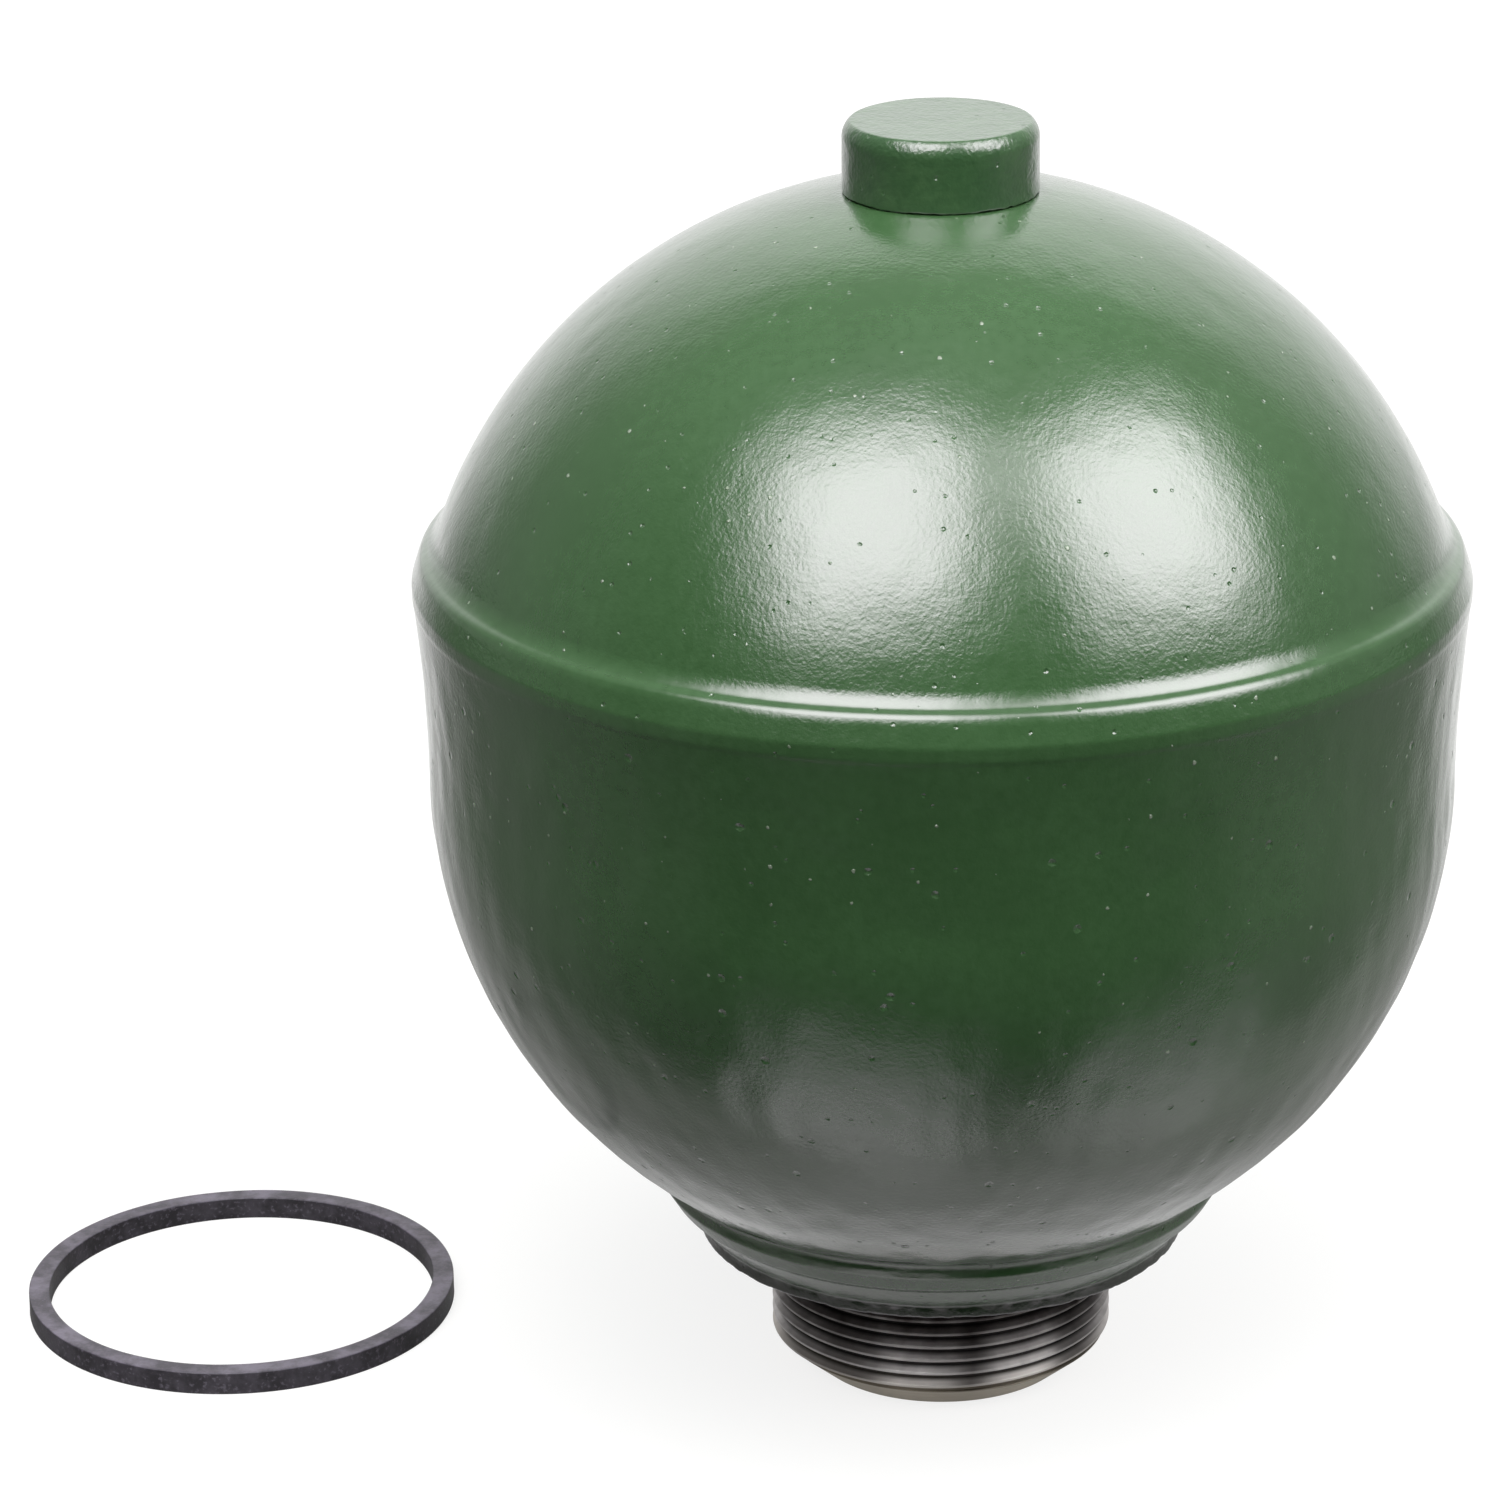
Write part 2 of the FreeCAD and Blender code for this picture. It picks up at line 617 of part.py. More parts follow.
def retaining_ring():
    """The open spring ring that holds the damper in the bore, with two drilled lugs for the pliers."""
    body = new_body("retaining_ring")
    inside = f"({clip_radius} - size.clip_width)"
    foot = f"({damper_foot} - size.clip_thickness)"
    arc = turned(body, "spring_ring", [
        (inside, foot),
        (clip_radius, foot),
        (clip_radius, damper_foot),
        (inside, damper_foot),
    ])
    arc.setExpression("Angle", "360 - size.clip_opening")
    arc.Midplane = True
    lug_turn = f"(180 - size.clip_opening / 2 - 90 * size.lug_radius / {inside})"
    lug_across = f"{inside} * cos({lug_turn})"
    lug_up = f"{inside} * sin({lug_turn})"
    lugs = new_sketch(body, "lug_outlines", foot)
    holes = new_sketch(body, "lug_holes", damper_foot)
    for side in ("", "-"):
        draw_circle(lugs, lug_across, f"{side}{lug_up}", "size.lug_radius")
        draw_circle(holes, lug_across, f"{side}{lug_up}", "size.lug_hole_radius")
    pad = body.newObject("PartDesign::Pad", "lugs")
    pad.Profile = lugs
    pad.setExpression("Length", "size.clip_thickness")
    cut_down(body, holes, "plier_holes")
    return body


def sealing_ring():
    """The square section ring, lying on the surface that the neck stands on."""
    body = washer("sealing_ring", seal_inside, seal_outside, "0", "size.seal_height")
    sides, ends = (seal_inside, seal_outside), ("0", "size.seal_height")
    rims = [(radius, height) for radius in sides for height in ends]
    ease_edges(body, "rounding", "Fillet", rims, "size.seal_edge")
    body.setExpression("Placement.Base.x", "-size.seal_left")
    body.setExpression("Placement.Base.y", "size.seal_behind")
    body.setExpression("Placement.Base.z", neck_end)
    return body


def check_and_write(bodies):
    """Stop at anything that failed, then write each sub-part to its own file."""
    doc.recompute()
    failed = [item.Name for item in doc.Objects if {"Invalid", "Error"} & set(item.State)]
    failed += [body.Label for body in bodies if body.Shape.isNull() or not body.Shape.isValid()]
    failed += [body.Label for body in bodies if len(body.Shape.Solids) != 1]
    if failed:
        raise SystemExit(f"failed: {', '.join(failed)}")
    os.makedirs("parts", exist_ok=True)
    for body in bodies:
        body.Shape.exportStep(f"parts/{body.Label}.step")
        print(f"{body.Label}: {body.Shape.Volume / 1000:.2f} cubic centimetres")


make_sheet()
check_and_write([
    upper_shell(),
    lower_shell(),
    threaded_neck(),
    clamp_ring(),
    diaphragm(),
    diaphragm_button(),
    filler_boss(),
    filler_seal(),
    filler_screw(),
    filler_cap(),
    damper_body(),
    *damper_leaves("compression", "size.damper_seat", "+"),
    *damper_leaves("rebound", damper_foot, "-"),
    damper_bolt(),
    damper_nut(),
    retaining_ring(),
    sealing_ring(),
])
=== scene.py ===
import math

import bmesh
import bpy
import numpy as np
from mathutils import Matrix, Vector, noise


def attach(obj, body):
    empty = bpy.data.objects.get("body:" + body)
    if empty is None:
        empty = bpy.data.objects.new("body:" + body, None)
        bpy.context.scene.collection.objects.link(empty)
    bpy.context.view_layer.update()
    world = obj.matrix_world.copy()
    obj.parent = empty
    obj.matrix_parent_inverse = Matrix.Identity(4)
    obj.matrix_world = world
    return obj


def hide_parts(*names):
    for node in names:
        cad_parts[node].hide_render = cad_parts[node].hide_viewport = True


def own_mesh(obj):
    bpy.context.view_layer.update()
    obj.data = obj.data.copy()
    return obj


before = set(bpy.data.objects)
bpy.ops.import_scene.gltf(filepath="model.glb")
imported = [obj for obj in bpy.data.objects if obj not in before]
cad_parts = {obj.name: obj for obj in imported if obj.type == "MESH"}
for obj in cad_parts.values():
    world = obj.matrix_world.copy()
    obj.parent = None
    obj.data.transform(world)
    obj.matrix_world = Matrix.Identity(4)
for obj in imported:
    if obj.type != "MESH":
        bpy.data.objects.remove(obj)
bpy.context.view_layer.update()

# Outlines are in millimetres from the axis and from the seat face, as in the drawing. Meshes are in metres.
MM = 0.001
NECK_END = -15.6
THREAD_RADIUS = 18.0
THREAD_PITCH = 1.5
BOWL_CENTRE, BOWL_RADIUS = 51.504, 52.8
DOME_CENTRE, DOME_RADIUS = 58.44, 54.6
RIM_RADIUS = 54.0
SPOT_FACE = 112.08
FILLER_HOLE = 7.0
CAP_RADIUS, CAP_TOP, CAP_BORE = 9.9, 119.38, 8.4
BEAD_SEAT = 64.0
RING_PLACE = (-76.5, 10.7, 0.0)
SHELL_COLUMNS = 480
RUBBER_COLUMNS = 240
# A hole this wide is left on the axis, so that every row of points is a ring.
PINHOLE = 0.02


def arc(centre, radius, start, end, step=0.65):
    """Points on an arc of an outline, between two angles in degrees above the horizontal."""
    count = max(2, math.ceil(radius * abs(math.radians(end - start)) / step))
    turns = [math.radians(turn) for turn in np.linspace(start, end, count + 1)]
    return [(centre[0] + radius * math.cos(t), centre[1] + radius * math.sin(t)) for t in turns]


def line(start, end, step=1.0):
    """Points along a straight run, without its first one."""
    count = max(1, math.ceil(math.dist(start, end) / step))
    shares = [number / count for number in range(1, count + 1)]
    return [tuple(a + (b - a) * share for a, b in zip(start, end)) for share in shares]


def bend(outline, tilt, to, radius, step=0.12):
    """Carry an outline on downwards, smoothly, while its face turns from one tilt to another."""
    (across, up), way = outline[-1], 1 if to < tilt else -1
    first = math.radians(tilt)
    count = max(3, math.ceil(radius * abs(math.radians(to - tilt)) / step))
    for turn in np.linspace(first, math.radians(to), count + 1)[1:]:
        out = way * radius * (math.cos(turn) - math.cos(first))
        rise = way * radius * (math.sin(turn) - math.sin(first))
        outline.append((across + out, up + rise))


def turned_points(outline, columns):
    """The points of an outline turned about the axis, one row for each point of the outline."""
    turns = np.arange(columns) * 2 * math.pi / columns
    across, up = np.array(outline, float).T
    level = np.repeat(up[:, None], columns, axis=1)
    return np.stack([np.outer(across, np.cos(turns)), np.outer(across, np.sin(turns)), level], axis=2)


def outward(points):
    """The directions that stand off a turned surface, from its neighbours on both sides."""
    down = np.roll(points, -1, axis=0) - np.roll(points, 1, axis=0)
    around = np.roll(points, -1, axis=1) - np.roll(points, 1, axis=1)
    normals = np.cross(around, down)
    return -normals / np.maximum(np.linalg.norm(normals, axis=2, keepdims=True), 1e-9)


def piece(name, points, material, body, nodes=(), edge=32, weld=False, bare_from=None):
    """A closed mesh from rows of points, joined round the axis, that stands for the solids named. Edges
    sharper than edge degrees stay sharp. With weld, the last column lies on the first. From the row bare_from
    on it is the inside of a pressing, which has no paint."""
    same_place = 2e-7
    rows, columns = points.shape[:2]
    mesh = bpy.data.meshes.new(name)
    turns = range(columns - 1 if weld else columns)
    faces = [
        (r * columns + c, ((r + 1) % rows) * columns + c,
         ((r + 1) % rows) * columns + (c + 1) % columns, r * columns + (c + 1) % columns)
        for r in range(rows) for c in turns
    ]
    mesh.from_pydata((points.reshape(-1, 3) * MM).tolist(), [], faces)
    if bare_from:
        bare = [int(r >= bare_from) for r in range(rows) for c in turns]
        mesh.polygons.foreach_set("material_index", bare)
    shape = bmesh.new()
    shape.from_mesh(mesh)
    bmesh.ops.remove_doubles(shape, verts=shape.verts, dist=same_place)
    bmesh.ops.recalc_face_normals(shape, faces=shape.faces)
    shape.to_mesh(mesh)
    shape.free()
    mesh.shade_smooth()
    mesh.set_sharp_from_angle(angle=math.radians(edge))
    made = bpy.data.objects.new(name, mesh)
    bpy.context.scene.collection.objects.link(made)
    made.data.materials.append(material)
    if bare_from:
        made.data.materials.append(bare_steel)
    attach(made, body)
    if nodes:
        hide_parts(*nodes)
    return made


def waves(points, size, seed):
    """Smooth unevenness from -1 to 1, with humps about this many millimetres wide. Each seed looks at
    another place in the same noise."""
    shift = Vector((seed * 17.3, seed * 5.1, seed * 9.7))
    flat = points.reshape(-1, 3) / size
    values = [noise.noise(Vector(spot) + shift) for spot in flat]
    return np.array(values).reshape(points.shape[:-1])


def dents(points, count, sizes, depths, seed, low, high):
    """Small knocks and pits in pressed steel, at seeded places between two heights."""
    reach = 3
    chance = np.random.RandomState(seed)
    flat = points.reshape(-1, 3)
    depth = np.zeros(len(flat))
    for _ in range(count):
        turn, up = chance.uniform(0, 2 * math.pi), chance.uniform(low, high)
        size, deep = chance.uniform(*sizes), chance.uniform(*depths)
        near = np.abs(flat[:, 2] - up) < reach * size
        here = flat[near]
        across = np.hypot(here[:, 0], here[:, 1])
        gap = (np.arctan2(here[:, 1], here[:, 0]) - turn + math.pi) % (2 * math.pi) - math.pi
        away = np.hypot(gap * across, here[:, 2] - up)
        depth[near] += deep * np.exp(-((away / size) ** 2))
    return depth.reshape(points.shape[:-1])


def srgb(code):
    """A colour from its sRGB hex value, in the linear light that a shader works in."""
    parts = [int(code[at:at + 2], 16) / 255 for at in (1, 3, 5)]
    return (*[c / 12.92 if c <= 0.04045 else ((c + 0.055) / 1.055) ** 2.4 for c in parts], 1.0)


def each(millimetres):
    """The texture scale that puts one cell or hump in this many millimetres."""
    return 1000 / millimetres


def add(tree, kind, inputs, out=None, **settings):
    """Add a node with its settings and links, and hand back the output that is used from it."""
    node = tree.nodes.new(kind)
    for name, value in settings.items():
        setattr(node, name, value)
    for name, value in inputs.items():
        socket = node.inputs[name] if isinstance(name, int) else next(
            s for s in node.inputs if s.enabled and s.name == name)
        if isinstance(value, bpy.types.NodeSocket):
            tree.links.new(value, socket)
        else:
            socket.default_value = value
    return node.outputs[out] if out else next((s for s in node.outputs if s.enabled), None)


def new_finish(name):
    """An empty material, its node tree, and the place on the part in metres."""
    material = bpy.data.materials.new(name)
    material.use_nodes = True
    tree = material.node_tree
    tree.nodes.clear()
    return material, tree, add(tree, "ShaderNodeTexCoord", {}, out="Object")


def green_enamel(name, light, deep, peel=0.033, lump=0.06, wide=3.4, coat=0.14, cover=1.0):
    """Stove enamel over pressed steel: a gloss green with a fine orange peel that breaks up the edges of
    each reflection, shallow lumps from the steel under it, dust nibs and pin holes, with more pits on the
    oil side. It has run smooth where it pooled in the hollow at the rim, it is torn at the neck's lip and
    darkened there with painted shade, and its highlights are a touch cool, so that they stay white."""
    hollow = 0.0758
    material, tree, place = new_finish(name)
    cloud = add(tree, "ShaderNodeTexNoise", {"Vector": place, "Scale": each(4 * wide), "Detail": 4.0})
    mottle = add(tree, "ShaderNodeTexNoise", {"Vector": place, "Scale": each(1.1), "Detail": 3.0})
    share = add(tree, "ShaderNodeMath", {0: cloud, 1: mottle}, operation="MULTIPLY")
    share = add(tree, "ShaderNodeMapRange", {"Value": share, "From Min": 0.1, "From Max": 0.42})
    paint = add(tree, "ShaderNodeMix", {"Factor": share, "A": srgb(deep), "B": srgb(light)}, data_type="RGBA")
    fine = add(tree, "ShaderNodeTexNoise",
               {"Vector": place, "Scale": each(0.4), "Detail": 2.5, "Roughness": 0.52})
    lumps = add(tree, "ShaderNodeTexNoise", {"Vector": place, "Scale": each(wide), "Detail": 2.0})
    level = add(tree, "ShaderNodeSeparateXYZ", {"Vector": place}, out="Z")
    pooled = add(tree, "ShaderNodeMath", {0: level, 1: hollow}, operation="SUBTRACT")
    pooled = add(tree, "ShaderNodeMath", {0: pooled}, operation="ABSOLUTE")
    pooled = add(tree, "ShaderNodeMapRange",
                 {"Value": pooled, "From Min": 0.0004, "From Max": 0.0013, "To Min": 0.12, "To Max": 1.0})
    ragged = add(tree, "ShaderNodeTexNoise",
                 {"Vector": place, "Scale": each(0.3), "Detail": 1.0}, out="Color")
    ragged = add(tree, "ShaderNodeVectorMath", {0: ragged, 1: (0.2 * MM, 0.2 * MM, 0.2 * MM), 2: place},
                 operation="MULTIPLY_ADD")
    spots = add(tree, "ShaderNodeTexVoronoi", {"Vector": ragged, "Scale": each(2.0)})
    chance = add(tree, "ShaderNodeTexVoronoi", {"Vector": ragged, "Scale": each(2.0)}, out="Color")
    reach = add(tree, "ShaderNodeMapRange",
                {"Value": add(tree, "ShaderNodeSeparateColor", {"Color": chance}),
                 "From Min": 0.45, "From Max": 1.0, "To Min": 0.0, "To Max": 0.13})
    nib = add(tree, "ShaderNodeMath", {0: reach, 1: spots}, operation="SUBTRACT")
    nib = add(tree, "ShaderNodeMapRange", {"Value": nib, "From Min": 0.0, "From Max": 0.05})
    holes = add(tree, "ShaderNodeTexVoronoi", {"Vector": ragged, "Scale": each(2.6)})
    hole = add(tree, "ShaderNodeMapRange",
               {"Value": holes, "From Min": 0.03, "From Max": 0.1, "To Min": 1.0, "To Max": 0.0})
    pits = add(tree, "ShaderNodeTexVoronoi", {"Vector": ragged, "Scale": each(4.6)})
    pit = add(tree, "ShaderNodeMapRange",
              {"Value": pits, "From Min": 0.04, "From Max": 0.105, "To Min": 1.0, "To Max": 0.0})
    oil_side = add(tree, "ShaderNodeMapRange",
                   {"Value": level, "From Min": 0.068, "From Max": 0.07, "To Min": 1.0, "To Max": 0.0})
    pit = add(tree, "ShaderNodeMath", {0: pit, 1: oil_side}, operation="MULTIPLY")
    dusty = add(tree, "ShaderNodeMath", {0: nib, 1: 0.5}, operation="MULTIPLY")
    colour = add(tree, "ShaderNodeMix", {"Factor": dusty, "A": paint, "B": srgb("#b7c2ae")}, data_type="RGBA")
    # Painted shade: below 1.7 mm above the seat, on the neck's torn lip, the colour goes most of the way to
    # near black, for the shadow under the bowl and the dark that the lip mirrors.
    torn = add(tree, "ShaderNodeMapRange",
               {"Value": level, "From Min": 0.0011, "From Max": 0.0017, "To Min": 0.8, "To Max": 0.0})
    colour = add(tree, "ShaderNodeMix", {"Factor": torn, "A": colour, "B": srgb("#131a11")}, data_type="RGBA")
    height = add(tree, "ShaderNodeMath", {0: fine, 1: pooled}, operation="MULTIPLY")
    height = add(tree, "ShaderNodeMath", {0: height, 1: peel}, operation="MULTIPLY")
    height = add(tree, "ShaderNodeMath", {0: lumps, 1: lump, 2: height}, operation="MULTIPLY_ADD")
    height = add(tree, "ShaderNodeMath", {0: nib, 1: 0.06, 2: height}, operation="MULTIPLY_ADD")
    height = add(tree, "ShaderNodeMath", {0: hole, 1: -0.075, 2: height}, operation="MULTIPLY_ADD")
    height = add(tree, "ShaderNodeMath", {0: pit, 1: -0.14, 2: height}, operation="MULTIPLY_ADD")
    relief = add(tree, "ShaderNodeBump", {"Height": height, "Strength": 1.0, "Distance": MM})
    gloss = add(tree, "ShaderNodeMapRange",
                {"Value": mottle, "From Min": 0.3, "From Max": 0.7, "To Min": 0.19, "To Max": 0.23})
    surface = add(tree, "ShaderNodeBsdfPrincipled", {
        "Base Color": colour, "Roughness": gloss, "IOR": 1.6, "Specular IOR Level": 0.85,
        "Specular Tint": srgb("#fff0ff"), "Normal": relief,
        "Coat Weight": cover, "Coat Roughness": coat, "Coat IOR": 1.65, "Coat Normal": relief})
    add(tree, "ShaderNodeOutputMaterial", {"Surface": surface})
    return material


def turned_steel():
    """Carbon steel turned on a lathe and oiled: the tool marks round the axis draw each light out into an
    upright streak. Its colour has dark staining in the thread, painted shade that darkens the thread
    towards the collar and in its roots, and a brownish film left on the lead-in cone."""
    lead_in_end = -0.0128
    material, tree, place = new_finish("oiled_turned_steel")
    along = add(tree, "ShaderNodeVectorMath", {0: place, 1: (each(9), each(9), each(0.22))},
                operation="MULTIPLY")
    marks = add(tree, "ShaderNodeTexNoise", {"Vector": along, "Scale": 1.0, "Detail": 3.0})
    stain = add(tree, "ShaderNodeTexNoise", {"Vector": place, "Scale": each(2.5), "Detail": 6.0})
    level = add(tree, "ShaderNodeSeparateXYZ", {"Vector": place}, out="Z")
    film = add(tree, "ShaderNodeMapRange",
               {"Value": level, "From Min": -0.0132, "From Max": -0.0106, "To Min": 1.0, "To Max": 0.0})
    film = add(tree, "ShaderNodeMath", {0: film, 1: 0.8}, operation="MULTIPLY")
    # Painted shade: the steel grows darker from 11.5 mm below the seat up towards the collar, for the shade
    # under it; random staining is added to it.
    unstained_and_unshaded = add(tree, "ShaderNodeMapRange", {"Value": level, "From Min": -0.004, "From Max": -0.0115})
    unstained_and_unshaded = add(tree, "ShaderNodeMath", {0: stain, 1: 1.1, 2: unstained_and_unshaded}, operation="MULTIPLY_ADD")
    unstained_and_unshaded = add(tree, "ShaderNodeMapRange", {"Value": unstained_and_unshaded, "From Min": 0.45, "From Max": 1.55})
    steel = add(tree, "ShaderNodeMix", {"Factor": unstained_and_unshaded, "A": srgb("#585251"), "B": srgb("#d2cecd")},
                data_type="RGBA")
    away = add(tree, "ShaderNodeVectorMath", {0: place, 1: (1.0, 1.0, 0.0)}, operation="MULTIPLY")
    away = add(tree, "ShaderNodeVectorMath", {0: away}, out="Value", operation="LENGTH")
    # Painted shade: the thread's roots, less than 17.6 mm from the axis, are darkened towards near black
    # above the lead-in cone.
    root = add(tree, "ShaderNodeMapRange",
               {"Value": away, "From Min": 0.01715, "From Max": 0.0176, "To Min": 0.9, "To Max": 0.0})
    threaded = add(tree, "ShaderNodeMath", {0: level, 1: lead_in_end}, operation="GREATER_THAN")
    root = add(tree, "ShaderNodeMath", {0: root, 1: threaded}, operation="MULTIPLY")
    steel = add(tree, "ShaderNodeMix", {"Factor": root, "A": steel, "B": srgb("#1c1918")}, data_type="RGBA")
    colour = add(tree, "ShaderNodeMix", {"Factor": film, "A": steel, "B": srgb("#a09684")}, data_type="RGBA")
    gloss = add(tree, "ShaderNodeMapRange",
                {"Value": marks, "From Min": 0.3, "From Max": 0.7, "To Min": 0.32, "To Max": 0.42})
    relief = add(tree, "ShaderNodeBump", {"Height": marks, "Strength": 1.0, "Distance": 0.008 * MM})
    round_axis = add(tree, "ShaderNodeTangent", {}, direction_type="RADIAL", axis="Z")
    surface = add(tree, "ShaderNodeBsdfPrincipled", {
        "Base Color": colour, "Metallic": 1.0, "Roughness": gloss, "Normal": relief, "Tangent": round_axis,
        "Anisotropic": 1.0, "Anisotropic Rotation": 0.25})
    add(tree, "ShaderNodeOutputMaterial", {"Surface": surface})
    return material


def metal(name, light, dark, grain, roughness, rise=0.01):
    """A plain metal part: its colour drifts between two shades, and its gloss breaks up in a grain this many
    millimetres wide."""
    material, tree, place = new_finish(name)
    cloud = add(tree, "ShaderNodeTexNoise", {"Vector": place, "Scale": each(4), "Detail": 4.0})
    fine = add(tree, "ShaderNodeTexNoise", {"Vector": place, "Scale": each(grain), "Detail": 3.0})
    colour = add(tree, "ShaderNodeMix", {"Factor": cloud, "A": srgb(dark), "B": srgb(light)},
                 data_type="RGBA")
    gloss = add(tree, "ShaderNodeMapRange",
                {"Value": fine, "From Min": 0.3, "From Max": 0.7,
                 "To Min": roughness - 0.06, "To Max": roughness + 0.08})
    relief = add(tree, "ShaderNodeBump", {"Height": fine, "Strength": 1.0, "Distance": rise * MM})
    surface = add(tree, "ShaderNodeBsdfPrincipled", {
        "Base Color": colour, "Metallic": 1.0, "Roughness": gloss, "Normal": relief})
    add(tree, "ShaderNodeOutputMaterial", {"Surface": surface})
    return material


def rubber(name, black, bloom, patch, share, roughness=0.5):
    """Moulded black rubber with a fine grain, specks of dust, and a pale bloom; what faces up is made paler,
    partly by bloom settled there and partly by painted sheen."""
    material, tree, place = new_finish(name)
    cloud = add(tree, "ShaderNodeTexNoise", {"Vector": place, "Scale": each(patch), "Detail": 5.0,
                                             "Roughness": 0.6})
    dust = add(tree, "ShaderNodeTexNoise", {"Vector": place, "Scale": each(0.45), "Detail": 3.0})
    amount = add(tree, "ShaderNodeMath", {0: dust, 1: 0.3, 2: cloud}, operation="MULTIPLY_ADD")
    amount = add(tree, "ShaderNodeMapRange",
                 {"Value": amount, "From Min": 0.54, "From Max": 0.78,
                  "To Min": 0.3 * share, "To Max": share})
    facing = add(tree, "ShaderNodeSeparateXYZ",
                 {"Vector": add(tree, "ShaderNodeNewGeometry", {}, out="Normal")}, out="Z")
    # Painted sheen: what faces up gets more of the pale colour, partly settled bloom, partly the sheen that
    # the top catches.
    bloom_and_painted_sheen_up = add(tree, "ShaderNodeMapRange",
                  {"Value": facing, "From Min": 0.1, "From Max": 0.8, "To Min": 0.35, "To Max": 1.0})
    amount = add(tree, "ShaderNodeMath", {0: amount, 1: bloom_and_painted_sheen_up}, operation="MULTIPLY")
    speck = add(tree, "ShaderNodeMapRange",
                {"Value": dust, "From Min": 0.52, "From Max": 0.66, "To Min": 0.0, "To Max": 0.6})
    amount = add(tree, "ShaderNodeMath", {0: amount, 1: speck}, operation="MAXIMUM")
    colour = add(tree, "ShaderNodeMix", {"Factor": amount, "A": srgb(black), "B": srgb(bloom)},
                 data_type="RGBA")
    gloss = add(tree, "ShaderNodeMapRange",
                {"Value": dust, "From Min": 0.3, "From Max": 0.7,
                 "To Min": roughness - 0.06, "To Max": roughness + 0.1})
    relief = add(tree, "ShaderNodeBump", {"Height": dust, "Strength": 1.0, "Distance": 0.02 * MM})
    surface = add(tree, "ShaderNodeBsdfPrincipled", {
        "Base Color": colour, "Roughness": gloss, "IOR": 1.52, "Normal": relief})
    add(tree, "ShaderNodeOutputMaterial", {"Surface": surface})
    return material


enamel = green_enamel("green_stove_enamel", "#41643d", "#395b35")
cap_enamel = green_enamel("green_cap_enamel", "#43663f", "#325532", peel=0.045, lump=0.1, wide=1.6,
                          coat=0.31)
neck_enamel = green_enamel("green_neck_enamel", "#3f643a", "#35562f", coat=0.2, cover=0.25)
steel = turned_steel()
bare_steel = metal("bare_pressed_steel", "#7d7975", "#625e5a", 0.35, 0.42)
rubber_seal = rubber("dusty_nitrile_rubber", "#1a171b", "#736d7a", 3, 0.95, 0.4)
rubber_moulding = rubber("moulded_nitrile_rubber", "#1d1d1e", "#46474b", 12, 0.35, 0.55)


def dome_outline():
    """The dome from the filler hole down to the rim, where the paint runs out to it in a hollow."""
    outline = [(FILLER_HOLE, SPOT_FACE)] + line((FILLER_HOLE, SPOT_FACE), (10.2, SPOT_FACE), 0.6)
    outline += arc((0, DOME_CENTRE), DOME_RADIUS, 79.23, 20.4)[1:]
    bend(outline, 20.4, 46, 4.0)
    bend(outline, 46, 58, 1.4)
    return outline


seam = dome_outline()[-1]


def upper_shell():
    """The dome of the gas side, its skirt and its inside."""
    skirt, inner, foot, shoulder = 51.7, 47.7, 69.0, 75.6
    outline = dome_outline()
    painted = len(outline)
    outline += line(seam, (skirt, shoulder), 0.4) + line((skirt, shoulder), (skirt, foot), 2)
    outline += line((skirt, foot), (inner, foot), 2) + line((inner, foot), (inner, 75.32), 3)
    outline += arc((0, DOME_CENTRE), 50.6, 19.5, 82.05, 3)[1:]
    outline += line((FILLER_HOLE, 108.55), (FILLER_HOLE, SPOT_FACE), 2)[:-1]
    points = turned_points(outline, SHELL_COLUMNS)
    stand = outward(points)
    fade = np.zeros(points.shape[:2])
    up = points[:painted, :, 2]
    fade[:painted] = np.clip((up - 77.5) / 4, 0, 1) * np.clip((111.3 - up) / 2, 0, 1)
    rise = 0.035 * waves(points, 9, 1) + 0.02 * waves(points, 3.5, 2)
    rise -= dents(points, 150, (0.7, 1.9), (0.01, 0.035), 3, 79, 110)
    points += stand * (rise * fade)[:, :, None]
    piece("dome_of_the_gas_side", points, enamel, "vessel", ["upper_shell"],
          bare_from=painted - 1)


